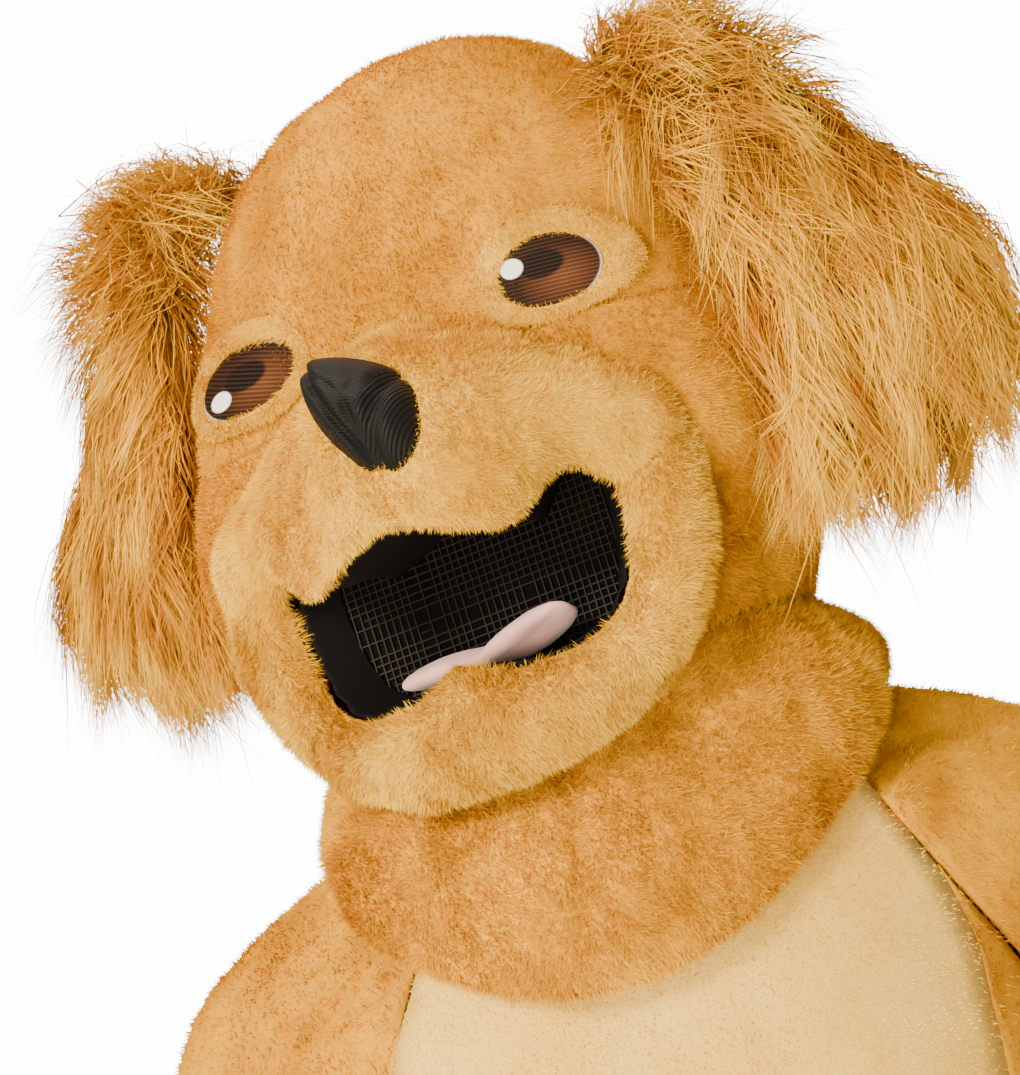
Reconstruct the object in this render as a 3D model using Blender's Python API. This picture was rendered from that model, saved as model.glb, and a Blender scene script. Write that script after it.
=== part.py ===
"""A dog costume as it is worn: a padded plush head with a bib collar, over a jumpsuit.

Sizes are in millimetres in the tables and become metres when a mesh is made.
+Z is up and the wearer faces -Y. The origin is at the base of the wearer's neck,
where the shoulders carry the costume. The wearer's left side is at +X.
"""

import math

import bmesh
import bpy
import numpy as np

MM = 0.001
SEAM_INSET = 0.32        # each piece stops this far short of its seam line
REST_GAP = 0.45          # clearance of a piece that lies on another

HEAD_WALL = 7.0          # plush over foam
HEAD_AT = (-28.0, 15.0, 238.0)
HEAD_TURN = (-5.0, -8.0, -24.0)              # nod, tilt and turn, in degrees
HEAD_CORE = np.array((0.0, -55.0, -105.0))   # every point of the head's cover can be seen from here

BODY_WALL = 3.0
BODY_X = 10.0            # the chest stands a little to the left of the tilted head
SHOULDER_LIFT = 17.0     # rise of the wearer's left shoulder over the level line
LIFT_SPAN = 200.0        # distance from the middle at which the rise is measured
LIFT_FADES = (-120.0, -420.0)


def unit(v):
    return v / max(np.linalg.norm(v), 1e-9)


def smooth(t):
    t = min(max(t, 0.0), 1.0)
    return t * t * (3 - 2 * t)


class Table:
    """A short table with named columns, read between its rows along a smooth curve."""

    def __init__(self, columns, rows):
        self.columns = columns.split()
        self.rows = [[float(x) for x in row] for row in rows]
        self.last = len(rows) - 1

    def at(self, place):
        """The columns' values at a fractional row number."""
        place = min(max(place, 0.0), float(self.last))
        i = min(int(place), self.last - 1)
        t = place - i
        four = [self.rows[min(max(i + k, 0), self.last)] for k in (-1, 0, 1, 2)]
        values = {}
        for n, name in enumerate(self.columns):
            a, b, c, d = (row[n] for row in four)
            values[name] = b + 0.5 * t * (c - a + t * (2 * a - 5 * b + 4 * c - d + t * (3 * (b - c) + d - a)))
        return values

    def along(self, column, value):
        """The row number where a column that only rises or only falls has this value."""
        low, high = 0.0, float(self.last)
        n = self.columns.index(column)
        rising = self.rows[-1][n] > self.rows[0][n]
        for _ in range(40):
            mid = (low + high) / 2
            if (self.at(mid)[column] < value) == rising:
                low = mid
            else:
                high = mid
        return (low + high) / 2


class Form:
    """A rounded form made of rings. Direction 0 is the front and 90 degrees the wearer's left."""

    def __init__(self, rows, back_square=2.1):
        self.table = Table("z_front z_side z_back half_width front back square", rows)
        self.last = self.table.last
        self.back_square = back_square

    def height(self, phi, row):
        facing = math.cos(phi)
        end = row["z_front"] if facing > 0 else row["z_back"]
        return row["z_side"] + (end - row["z_side"]) * facing * facing

    def on_ring(self, phi_deg, place):
        phi = math.radians(phi_deg)
        row = self.table.at(place)
        ahead = math.cos(phi) > 0
        depth = row["front"] if ahead else row["back"]
        power = row["square"] if ahead else self.back_square
        across = (abs(math.sin(phi)) / row["half_width"]) ** power + (abs(math.cos(phi)) / depth) ** power
        radius = across ** (-1 / power)
        return np.array((radius * math.sin(phi), -radius * math.cos(phi), self.height(phi, row)))

    def ring_through(self, phi_deg, z):
        """The fractional number of the ring that has the height z in this direction."""
        phi = math.radians(phi_deg)
        low, high = 0.0, float(self.last)
        for _ in range(30):
            mid = (low + high) / 2
            if self.height(phi, self.table.at(mid)) > z:
                low = mid
            else:
                high = mid
        return (low + high) / 2

    def at(self, phi_deg, z):
        return self.on_ring(phi_deg, self.ring_through(phi_deg, z))


def bezier(a, b, c, d, t):
    s = 1 - t
    return a * s ** 3 + b * 3 * s * s * t + c * 3 * s * t * t + d * t ** 3


def mirrored(points, side):
    """The grid itself on the wearer's left, or its mirror image with the columns in turned order."""
    if side > 0:
        return points
    turned = points[:, ::-1].copy()
    turned[..., 0] *= -1
    return turned


def mesh_from(name, verts, faces):
    bm = bmesh.new()
    made = [bm.verts.new([x * MM for x in v]) for v in verts]
    for face in faces:
        corners = list(dict.fromkeys(face))
        if len(corners) > 2:
            bm.faces.new([made[i] for i in corners])
    bmesh.ops.recalc_face_normals(bm, faces=bm.faces)
    if bm.calc_volume(signed=True) < 0:
        bmesh.ops.reverse_faces(bm, faces=bm.faces)
    mesh = bpy.data.meshes.new(name)
    bm.to_mesh(mesh)
    bm.free()
    return mesh


def index_grid(verts, points, pole_first, pole_last):
    """Adds a grid's points to verts. A row that is a pole becomes one vertex."""
    ids = []
    for r, row in enumerate(points):
        if (r == 0 and pole_first) or (r == len(points) - 1 and pole_last):
            verts.append(np.mean(row, axis=0))
            ids.append([len(verts) - 1] * len(row))
        else:
            ids.append(list(range(len(verts), len(verts) + len(row))))
            verts.extend(row)
    return ids


def wall_mesh(name, outer, inner, closed=False, pole=False):
    """A wall between two grids of rows by columns. closed joins the columns, pole closes the first row."""
    verts, faces = [], []
    out = index_grid(verts, outer, pole, False)
    into = index_grid(verts, inner, pole, False)
    rows, columns = outer.shape[:2]
    steps = columns if closed else columns - 1
    for c in range(steps):
        d = (c + 1) % columns
        for r in range(rows - 1):
            faces.append((out[r][c], out[r][d], out[r + 1][d], out[r + 1][c]))
            faces.append((into[r][c], into[r + 1][c], into[r + 1][d], into[r][d]))
        faces.append((out[-1][c], out[-1][d], into[-1][d], into[-1][c]))
        if not pole:
            faces.append((out[0][d], out[0][c], into[0][c], into[0][d]))
    if not closed:
        for r in range(rows - 1):
            faces.append((out[r][0], out[r + 1][0], into[r + 1][0], into[r][0]))
            faces.append((out[r + 1][-1], out[r][-1], into[r][-1], into[r + 1][-1]))
    return mesh_from(name, verts, faces)


def body_mesh(name, rings):
    """A filled body from closed rings, whose first and last ring are poles."""
    verts, faces = [], []
    ids = index_grid(verts, rings, True, True)
    columns = rings.shape[1]
    for r in range(len(rings) - 1):
        for c in range(columns):
            d = (c + 1) % columns
            faces.append((ids[r][c], ids[r][d], ids[r + 1][d], ids[r + 1][c]))
    return mesh_from(name, verts, faces)


def inset_edges(points, closed=False, amount=SEAM_INSET, sides="tblr"):
    """Draws the grid's open edges in along its own surface, to leave room for the seams."""
    moved = points.copy()

    def draw_in(edge, towards):
        for p, q in zip(edge, towards):
            p += unit(q - p) * amount

    if "t" in sides:
        draw_in(moved[0], points[1])
    if "b" in sides:
        draw_in(moved[-1], points[-2])
    if not closed and "l" in sides:
        draw_in(moved[:, 0], points[:, 1])
    if not closed and "r" in sides:
        draw_in(moved[:, -1], points[:, -2])
    return moved


def grid_normals(points, closed=False):
    if closed:
        across = np.roll(points, -1, axis=1) - np.roll(points, 1, axis=1)
    else:
        across = np.gradient(points, axis=1)
    down = np.gradient(points, axis=0)
    normals = np.cross(across, down)
    return normals / np.maximum(np.linalg.norm(normals, axis=2, keepdims=True), 1e-9)


def inward(points, directions, wall, closed=False):
    """The wall's other side: points moved along the directions until the wall has its thickness."""
    normals = grid_normals(points, closed)
    facing = np.abs(np.sum(directions * normals, axis=2, keepdims=True))
    return points + directions * wall / np.maximum(facing, 0.62)


def rays_to(points, core):
    rays = core - points
    return rays / np.maximum(np.linalg.norm(rays, axis=2, keepdims=True), 1e-9)


def rays_to_axis(points):
    rays = np.zeros_like(points)
    rays[..., 0] = -points[..., 0]
    rays[..., 1] = -points[..., 1]
    return rays / np.maximum(np.linalg.norm(rays, axis=2, keepdims=True), 1e-9)


def material(name, colour, roughness):
    found = bpy.data.materials.get(name)
    if found:
        return found
    made = bpy.data.materials.new(name)
    made.use_nodes = True
    shader = made.node_tree.nodes["Principled BSDF"]
    shader.inputs["Base Color"].default_value = (*colour, 1)
    shader.inputs["Roughness"].default_value = roughness
    shader.inputs["Metallic"].default_value = 0.0
    made.diffuse_color = (*colour, 1)
    return made


GOLDEN = ("golden_plush", (0.66, 0.36, 0.11), 0.95)
LIGHT = ("light_plush", (0.76, 0.50, 0.22), 0.95)
CREAM = ("cream_plush", (0.80, 0.58, 0.30), 0.95)
FUR = ("long_fur", (0.68, 0.42, 0.15), 0.9)
SATIN = ("black_satin", (0.012, 0.012, 0.013), 0.45)
NET = ("black_net", (0.02, 0.016, 0.013), 0.7)
PINK = ("pink_fleece", (0.72, 0.44, 0.40), 0.9)
PRINT = ("eye_print", (0.05, 0.03, 0.024), 0.6)


def add_object(name, mesh, finish, parent=None):
    mesh.materials.append(material(*finish))
    mesh.shade_smooth()
    mesh.set_sharp_from_angle(angle=math.radians(50))
    obj = bpy.data.objects.new(name, mesh)
    bpy.context.scene.collection.objects.link(obj)
    obj.parent = parent
    return obj


# Rings of the skull from the top of the crown down to the neck rim.
SKULL = Form([
    (168, 167, 164, 2, 2, 2, 2.0),
    (164, 160, 153, 52, 46, 60, 2.0),
    (151, 144, 131, 96, 78, 107, 2.1),
    (123, 112, 95, 128, 93, 138, 2.25),
    (77, 63, 45, 149, 97, 155, 2.35),
    (26, 13, -6, 167, 94, 162, 2.4),
    (-26, -38, -54, 182, 95, 165, 2.5),
    (-74, -86, -100, 187, 110, 161, 2.6),
    (-124, -130, -136, 177, 112, 149, 2.5),
    (-178, -168, -160, 159, 106, 137, 2.2),
    (-236, -200, -184, 142, 100, 126, 2.0),
])
TOP_RING = 0.12

# Seam round the top of the muzzle, on the skull, from the bridge to beside the corner of the mouth.
MUZZLE_SEAM = Table("phi z", [
    (0, 9), (13, 6), (27, -8), (36, -20), (47, -43), (56, -68), (60, -90), (60, -105)])
# Edge of the upper lip, half of it: the middle, the hanging lobe, the lifted part, the corner.
UPPER_LIP = Table("x y z", [
    (0, -190, -115), (17, -189, -120), (38, -182, -128), (61, -167, -135), (78, -151, -121),
    (91, -136, -107), (103, -122, -113), (112, -107, -126)])
# Inner edge of the lower lip, half of it, and the outer edge of the rolled jaw.
LOWER_LIP = Table("x y z", [
    (0, -161, -204), (24, -157, -212), (52, -147, -214), (78, -133, -209), (96, -119, -196),
    (106, -109, -174), (111, -105, -148), (112, -107, -126)])
JAW_EDGE = Table("x y z", [
    (0, -141, -266), (30, -133, -261), (62, -118, -250), (92, -100, -233), (115, -85, -208),
    (131, -76, -174), (139, -72, -138)])

HALF_MUZZLE = 12             # columns from the middle of the muzzle to its side
SEAM_COLUMN = 5              # the column where the crown's seam meets the muzzle's
FACE_ROWS = 11
CHEEK_COLUMNS = 10
CROWN_ROWS = 10
CORNER_PUFF = 9.0            # how far the plush stands out beside the corner of the mouth
CORNER_SHARE = 0.74          # where the panels begin to share the corner's curve
DART_WIDTH, DART_DEPTH = 0.055, 3.5
CHIN_WIDTH, CHIN_DIP = 0.07, 4.0
THROAT_COLUMN = HALF_MUZZLE - 1      # the jaw's column where throat and cheek meet
THROAT_TURN = 80.0                   # direction of that seam's lower end, on the neck rim
THROAT_ROWS = 5
THROAT_PUFF = 5.0


def half_curve(table, t):
    """A point of a curve that is given half, at t from -1 to 1."""
    row = table.at(abs(t) * table.last)
    return np.array((math.copysign(row["x"], t), row["y"], row["z"]))


def muzzle_seam_place(t):
    row = MUZZLE_SEAM.at(abs(t) * MUZZLE_SEAM.last)
    return math.copysign(row["phi"], t), row["z"]


def muzzle_seam(t):
    return SKULL.at(*muzzle_seam_place(t))


def jaw_edge(t):
    """The jaw's outer edge. Its two ends are where the muzzle's seam ends."""
    last = JAW_EDGE.last + 1
    place = abs(t) * last
    if place <= JAW_EDGE.last:
        return half_curve(JAW_EDGE, math.copysign(place / JAW_EDGE.last, t))
    low = half_curve(JAW_EDGE, math.copysign(1, t))
    return low + (muzzle_seam(math.copysign(1, t)) - low) * (place - JAW_EDGE.last)


def corner_curve(side, r):
    """From the end of the muzzle's seam, r = 0, to the corner of the mouth, r = 1."""
    seam, lip = muzzle_seam(side), half_curve(UPPER_LIP, side)
    puff = unit(np.array((0.55 * side, -0.8, 0.0))) * CORNER_PUFF
    return seam + (lip - seam) * r + puff * 4 * r * (1 - r)


def muzzle_point(t, r):
    """The muzzle's surface: t from -1 to 1 across, r from 0 at the seam to 1 at the lip's edge."""
    top, lip = muzzle_seam(t), half_curve(UPPER_LIP, t)
    side = abs(t)
    middle = 1 - side ** 1.6
    span = np.linalg.norm(lip - top)
    forward = unit(np.array((math.copysign(0.5 * side ** 0.7, t), -1.0, -0.22 - 0.1 * side)))
    upward = unit(np.array((0.62 * t, 0.02 - 0.4 * side, 1.0)))
    reach = 0.52 - 0.06 * middle
    p = bezier(top, top + forward * span * reach, lip + upward * span * 0.42, lip, r)
    share = smooth((side - CORNER_SHARE) / (1 - CORNER_SHARE))
    return p + (corner_curve(math.copysign(1, t), r) - p) * share


def jaw_point(t, r):
    """The rolled lower lip: r from 0 at the inner edge to 1 at the outer edge."""
    lip, edge = half_curve(LOWER_LIP, t), jaw_edge(t)
    span = np.linalg.norm(edge - lip)
    out = unit((lip + edge) / 2 - np.array((0, -25, -150)))
    roll = 0.36 + 0.34 * abs(t)
    p = bezier(lip, lip + out * span * roll, edge + out * span * roll * 1.05, edge, r)
    share = smooth((abs(t) - CORNER_SHARE) / (1 - CORNER_SHARE))
    return p + (corner_curve(math.copysign(1, t), 1 - r) - p) * share


def head_panel(name, outer, finish, frame, closed=False, pole=False, sides="tblr"):
    """A plush panel of the head. Its walls point at the head's core, so neighbours never cross."""
    outer = inset_edges(outer, closed, sides=sides)
    inner = inward(outer, rays_to(outer, HEAD_CORE), HEAD_WALL, closed)
    return add_object(name, wall_mesh(name, outer, inner, closed, pole), finish, frame)


# Where the crown stops: along the muzzle's seam between the eyes, then nearly level round the head.
MEETING_PHI, MEETING_Z = muzzle_seam_place(SEAM_COLUMN / HALF_MUZZLE)
CROWN_SEAM = Table("phi z", [
    (MEETING_PHI, MEETING_Z), (50, -20), (66, -21), (90, -24), (120, -34), (150, -44), (180, -48)])


def crown_directions():
    """Directions of the crown's columns, with the height of its lower edge at each."""
    middle = [muzzle_seam_place(c / HALF_MUZZLE) for c in range(-SEAM_COLUMN, SEAM_COLUMN + 1)]
    side = []
    for c in range(1, CHEEK_COLUMNS):
        phi = MEETING_PHI + (180 - MEETING_PHI) * c / (CHEEK_COLUMNS - 1)
        side.append((phi, CROWN_SEAM.at(CROWN_SEAM.along("phi", phi))["z"]))
    other = [(-phi, z) for phi, z in side[:-1]]
    return middle + side + other[::-1]


def build_crown(frame):
    columns = crown_directions()
    outer = np.zeros((CROWN_ROWS, len(columns), 3))
    for c, (phi, z) in enumerate(columns):
        edge = SKULL.ring_through(phi, z)
        for r in range(CROWN_ROWS):
            share = r / (CROWN_ROWS - 1)
            outer[r, c] = SKULL.on_ring(phi, TOP_RING + (edge - TOP_RING) * share ** 0.9)
    return head_panel("crown", outer, GOLDEN, frame, closed=True, pole=True, sides="b")


def throat_point(column, share):
    """From the jaw's outer edge, share = 0, to the neck rim, share = 1."""
    edge = jaw_edge(column / HALF_MUZZLE)
    rim = SKULL.on_ring(THROAT_TURN * column / THROAT_COLUMN, SKULL.last)
    p = edge + (rim - edge) * share
    return p + unit(p - HEAD_CORE) * THROAT_PUFF * 4 * share * (1 - share)


def build_throat(frame):
    """The strip under the jaw, from one cheek to the other and down to the neck rim."""
    columns = range(-THROAT_COLUMN, THROAT_COLUMN + 1)
    outer = np.array([[throat_point(c, r / (THROAT_ROWS - 1)) for c in columns] for r in range(THROAT_ROWS)])
    return head_panel("throat", outer, GOLDEN, frame)


def build_cheek(name, side, frame):
    """A side of the head, from the crown's seam to the neck rim and from the face to the nape."""
    front_edge = [muzzle_seam(c / HALF_MUZZLE) for c in range(SEAM_COLUMN, HALF_MUZZLE + 1)]
    front_edge += [throat_point(THROAT_COLUMN, r / (THROAT_ROWS - 1)) for r in range(THROAT_ROWS)]
    rows = len(front_edge)
    outer = np.zeros((rows, CHEEK_COLUMNS, 3))
    for r, front in enumerate(front_edge):
        t = r / (rows - 1)
        front_phi = math.degrees(math.atan2(front[0], -front[1]))
        front_place = SKULL.ring_through(front_phi, front[2])
        off_skull = front - SKULL.on_ring(front_phi, front_place)
        for c in range(CHEEK_COLUMNS):
            k = c / (CHEEK_COLUMNS - 1)
            phi = front_phi + (180 - front_phi) * k
            top = SKULL.ring_through(phi, CROWN_SEAM.at(CROWN_SEAM.along("phi", max(phi, MEETING_PHI)))["z"])
            place = top + (SKULL.last - top) * t
            place = front_place + (place - front_place) * smooth(k / 0.45)
            outer[r, c] = SKULL.on_ring(phi, place) + off_skull * (1 - smooth(k / 0.5))
    return head_panel(name, mirrored(outer, side), GOLDEN, frame)


def build_muzzle(frame):
    columns = 2 * HALF_MUZZLE + 1
    outer = np.zeros((FACE_ROWS, columns, 3))
    for c in range(columns):
        t = (c - HALF_MUZZLE) / HALF_MUZZLE
        for r in range(FACE_ROWS):
            share = r / (FACE_ROWS - 1)
            p = muzzle_point(t, share)
            dart = math.exp(-(t / DART_WIDTH) ** 2) * smooth((share - 0.55) / 0.2)
            outer[r, c] = p + unit(HEAD_CORE - p) * DART_DEPTH * dart
    return head_panel("muzzle", outer, LIGHT, frame)


def build_jaw(name, side, frame):
    outer = np.zeros((FACE_ROWS, HALF_MUZZLE + 1, 3))
    for c in range(HALF_MUZZLE + 1):
        t = c / HALF_MUZZLE
        for r in range(FACE_ROWS):
            p = jaw_point(t, r / (FACE_ROWS - 1))
            dip = CHIN_DIP * math.exp(-(t / CHIN_WIDTH) ** 2)
            outer[r, c] = p + unit(HEAD_CORE - p) * dip
    return head_panel(name, mirrored(outer, side), LIGHT, frame)


LINING_START = 15.0          # behind the lips' edge, clear of the plush
LINING_WALL = 1.6
LINING_NARROWS = 0.86
LINING_RISE = 8.0            # the mouth's hollow rises a little towards the net
SCREEN_Y = -80.0
LIP_STEPS = 18
LINING_ROWS = 5


def mouth_loop():
    upper = [half_curve(UPPER_LIP, 2 * i / LIP_STEPS - 1) for i in range(LIP_STEPS + 1)]
    lower = [half_curve(LOWER_LIP, 1 - 2 * i / LIP_STEPS) for i in range(1, LIP_STEPS)]
    return upper + lower


def lining_ends(p):
    start = p + unit(HEAD_CORE - p) * LINING_START
    return start, np.array((start[0] * LINING_NARROWS, SCREEN_Y, start[2] + LINING_RISE))


def build_lining(frame):
    loop = mouth_loop()
    seen = np.zeros((LINING_ROWS, len(loop), 3))
    for c, p in enumerate(loop):
        start, end = lining_ends(p)
        for r in range(LINING_ROWS):
            seen[r, c] = start + (end - start) * r / (LINING_ROWS - 1)
    along = np.roll(seen, -1, axis=1) - np.roll(seen, 1, axis=1)
    away = np.stack((-along[..., 2], np.zeros(along.shape[:2]), along[..., 0]), axis=2)
    away /= np.linalg.norm(away, axis=2, keepdims=True)
    mesh = wall_mesh("mouth_lining", seen, seen + away * LINING_WALL, True)
    return add_object("mouth_lining", mesh, SATIN, frame)


SCREEN_WALL = 1.5
SCREEN_LAP = 1.1             # the net laps the lining's end
SCREEN_REACH = 0.965         # how far the net goes towards the corners of the mouth
SCREEN_COLUMNS = 19
SCREEN_ROWS = 4


def build_screen(frame):
    front = np.zeros((SCREEN_ROWS, SCREEN_COLUMNS, 3))
    for c in range(SCREEN_COLUMNS):
        t = SCREEN_REACH * (2 * c / (SCREEN_COLUMNS - 1) - 1)
        top, low = (lining_ends(half_curve(lip, t))[1] for lip in (UPPER_LIP, LOWER_LIP))
        lap = unit(top - low) * SCREEN_LAP
        for r in range(SCREEN_ROWS):
            share = r / (SCREEN_ROWS - 1)
            front[r, c] = top + lap + (low - top - 2 * lap) * share
    front[..., 1] = SCREEN_Y + REST_GAP
    back = front + np.array((0, SCREEN_WALL, 0))
    return add_object("mouth_screen", wall_mesh("mouth_screen", front, back), NET, frame)


TONGUE_MIDDLE = (3.0, -106.0, -180.6)
TONGUE_HALF_WIDTH = 56.0
TONGUE_REACH = 22.0          # to the front, and to the back
TONGUE_THICK = 7.0           # half of it
TONGUE_COLUMNS = 26
TONGUE_ROWS = (0.0, 0.4, 0.72, 0.93, 1.0, 0.93, 0.72, 0.4, 0.0)


def build_tongue(frame):
    """A padded tongue with two lobes: a notch and a groove in the middle, one lobe turned up."""
    rings = np.zeros((len(TONGUE_ROWS), TONGUE_COLUMNS, 3))
    for r, share in enumerate(TONGUE_ROWS):
        top = 1 if r < len(TONGUE_ROWS) // 2 else -1
        for c in range(TONGUE_COLUMNS):
            angle = 2 * math.pi * c / TONGUE_COLUMNS
            across = math.sin(angle)
            ahead = math.cos(angle)
            x = TONGUE_HALF_WIDTH * share * math.copysign(abs(across) ** 0.8, across)
            side = x / TONGUE_HALF_WIDTH
            notch = 0.36 * math.exp(-(side / 0.22) ** 2) if ahead > 0 else 0.0
            y = -TONGUE_REACH * share * math.copysign(abs(ahead) ** 0.8, ahead) * (1 - notch)
            full = math.sqrt(max(1 - share ** 2.6, 0.0))
            groove = 0.45 * math.exp(-(side / 0.2) ** 2) if top > 0 else 0.0
            lift = 7.0 * side * abs(side) + 5.0 * side * side
            z = top * TONGUE_THICK * full * (1 - groove) + lift
            rings[r, c] = np.array((x, y, z)) + TONGUE_MIDDLE
    return add_object("tongue", body_mesh("tongue", rings), PINK, frame)


# Each eye: direction and height of its middle, half its width in degrees and half its height.
EYES = {1: (47.0, 2.0, 11.0, 19.5), -1: (48.5, 12.0, 13.5, 18.0)}
EYE_LIFT = 1.5               # clearance of the eye and its patch above the skull
EYE_BULGE = 5.0
EYE_RIM = 1.4                # thickness of the printed eye at its edge
EYE_COLUMNS = 22
PATCH_HALF_OUT, PATCH_HALF_IN, PATCH_UP, PATCH_DOWN = 20.0, 17.5, 36.0, 26.0
PATCH_PUFF = 4.0
PATCH_ROWS = 4


def above_skull(phi, z, height):
    p = SKULL.at(phi, z)
    return p + unit(p - HEAD_CORE) * height


def build_eye(name, side, frame):
    rings = (0.0, 0.4, 0.75, 1.0)
    middle_phi, middle_z, half_phi, half_z = EYES[side]
    outer = np.zeros((len(rings), EYE_COLUMNS, 3))
    inner = outer.copy()
    for r, share in enumerate(rings):
        for c in range(EYE_COLUMNS):
            angle = 2 * math.pi * c / EYE_COLUMNS
            phi = middle_phi + half_phi * share * math.cos(angle)
            z = middle_z + half_z * share * math.sin(angle)
            bulge = EYE_BULGE * (1 - share * share)
            outer[r, c] = above_skull(phi, z, EYE_LIFT + EYE_RIM + bulge)
            inner[r, c] = above_skull(phi, z, EYE_LIFT)
    mesh = wall_mesh(name, mirrored(outer, side), mirrored(inner, side), True, True)
    return add_object(name, mesh, PRINT, frame)


def build_patch(name, side, frame):
    """The plush ring round an eye, wider above and outside it than below."""
    middle_phi, middle_z, half_phi, half_z = EYES[side]
    outer = np.zeros((PATCH_ROWS, EYE_COLUMNS, 3))
    inner = outer.copy()
    for r in range(PATCH_ROWS):
        share = r / (PATCH_ROWS - 1)
        for c in range(EYE_COLUMNS):
            angle = 2 * math.pi * c / EYE_COLUMNS
            across, up = math.cos(angle), math.sin(angle)
            near = (half_phi + 0.35) * across, (half_z + 0.7) * up
            far = ((PATCH_HALF_OUT if across > 0 else PATCH_HALF_IN) * across,
                   (PATCH_UP if up > 0 else PATCH_DOWN) * up)
            phi = middle_phi + near[0] + (far[0] - near[0]) * share
            z = middle_z + near[1] + (far[1] - near[1]) * share
            puff = PATCH_PUFF * (4 * share * (1 - share)) ** 0.6 + 1.4 * (1 - share)
            outer[r, c] = above_skull(phi, z, EYE_LIFT + EYE_RIM + puff)
            inner[r, c] = above_skull(phi, z, EYE_LIFT)
    mesh = wall_mesh(name, mirrored(outer, side), mirrored(inner, side), True)
    return add_object(name, mesh, LIGHT, frame)


NOSE_Z = -46.0
NOSE_HALF_WIDTH = 36.0
NOSE_UP, NOSE_DOWN = 22.0, 30.0
NOSE_DEPTH = 25.0
NOSE_SEAMS = (90.0, 212.0, 328.0)    # directions of the three seams from the nose's middle
NOSE_SEAM_DIP = 3.4
NOSE_COLUMNS = 30
NOSE_SEAT = 1.2              # the muzzle's fullest point near a place lies further forward than its surface
NOSE_EDGE = 2.5


def muzzle_front(samples, x, z, reach=7.0):
    """How far forward the muzzle comes near a place in front view."""
    near = samples[np.hypot(samples[:, 0] - x, samples[:, 2] - z) < reach]
    return near[:, 1].min()


def build_nose(frame):
    """Three facets that meet at the nose's middle. Angles run from below, turning to the wearer's left."""
    samples = np.array([muzzle_point(t / 40, r / 60) for t in range(-24, 25) for r in range(0, 61)])
    steps = (0.0, 0.3, 0.56, 0.78, 0.93, 1.0)
    rings = []
    for share in steps:
        row = []
        for c in range(NOSE_COLUMNS):
            angle = 2 * math.pi * c / NOSE_COLUMNS
            across, up = math.sin(angle), -math.cos(angle)
            wide = NOSE_HALF_WIDTH * (1.0 if up > 0 else 1 - 0.34 * abs(up) ** 1.5)
            x = wide * share * math.copysign(abs(across) ** 0.78, across)
            z = share * (NOSE_UP if up > 0 else NOSE_DOWN) * math.copysign(abs(up) ** 0.86, up)
            seam = 0.0
            for direction in NOSE_SEAMS:
                turn = (math.degrees(angle) + 90 - direction + 180) % 360 - 180
                seam += math.exp(-(math.radians(turn) * share / 0.16) ** 2)
            dome = NOSE_DEPTH * (1 - share ** 2.3) ** 0.62
            dip = NOSE_SEAM_DIP * seam * min(1, 4 * share) * (1 - share) ** 0.3
            y = muzzle_front(samples, x, NOSE_Z + z) + NOSE_SEAT - NOSE_EDGE - dome + dip
            row.append((x, y, NOSE_Z + z))
        rings.append(row)
    for share in (1.0, 0.66, 0.33, 0.0):
        row = []
        for x, y, z in rings[5]:
            x, z = x * share, NOSE_Z + (z - NOSE_Z) * share
            row.append((x, muzzle_front(samples, x, z) + NOSE_SEAT, z))
        rings.append(row)
    return add_object("nose", body_mesh("nose", np.array(rings)), SATIN, frame)


# The ear's flap from near its root to near its tip: middle, half-width vector, half thickness.
EAR = Table("x y z wide_x wide_y wide_z thick", [
    (147, 2, 126, 9, 41, 9, 14),
    (171, -2, 106, 18, 42, 13, 16),
    (195, -6, 61, 32, 43, 11, 17),
    (227, -9, 8, 52, 43, 5, 18),
    (247, -11, -42, 62, 41, 2, 17),
    (245, -12, -91, 62, 38, -1, 16),
    (232, -13, -137, 56, 35, -2, 14),
    (215, -13, -172, 47, 31, -4, 12),
])
EAR_ROOT = (94.0, 112.0)     # direction and height of the root's middle, on the crown
EAR_ROOT_HALF = (20.0, 10.0)
EAR_COLUMNS = 24
EAR_ROWS = 12
EAR_STEP = 0.05              # rows ahead at which the flap's direction is read
EAR_LOCKS = 3.3              # locks along the lower edge, over half the width
EAR_LOCK_DROP = (10.0, 26.0)
EAR_SEAT = 0.5
EAR_SWING = {1: 0.0, -1: 0.10}    # the tilted head lets the right ear hang away from it
EAR_SPREAD = {1: 0.0, -1: 0.16}
EAR_SHORTER = {1: 0.0, -1: 0.10}


def ear_ring(row, following):
    middle = np.array((row["x"], row["y"], row["z"]))
    along = np.array((following["x"], following["y"], following["z"])) - middle
    wide = np.array((row["wide_x"], row["wide_y"], row["wide_z"]))
    face = unit(np.cross(along, wide)) * row["thick"]
    ring = []
    for c in range(EAR_COLUMNS):
        angle = 2 * math.pi * c / EAR_COLUMNS
        across, up = math.cos(angle), math.sin(angle)
        ring.append(middle + wide * math.copysign(abs(across) ** 0.85, across) + face * up * abs(up) ** 0.1)
    return ring


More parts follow.
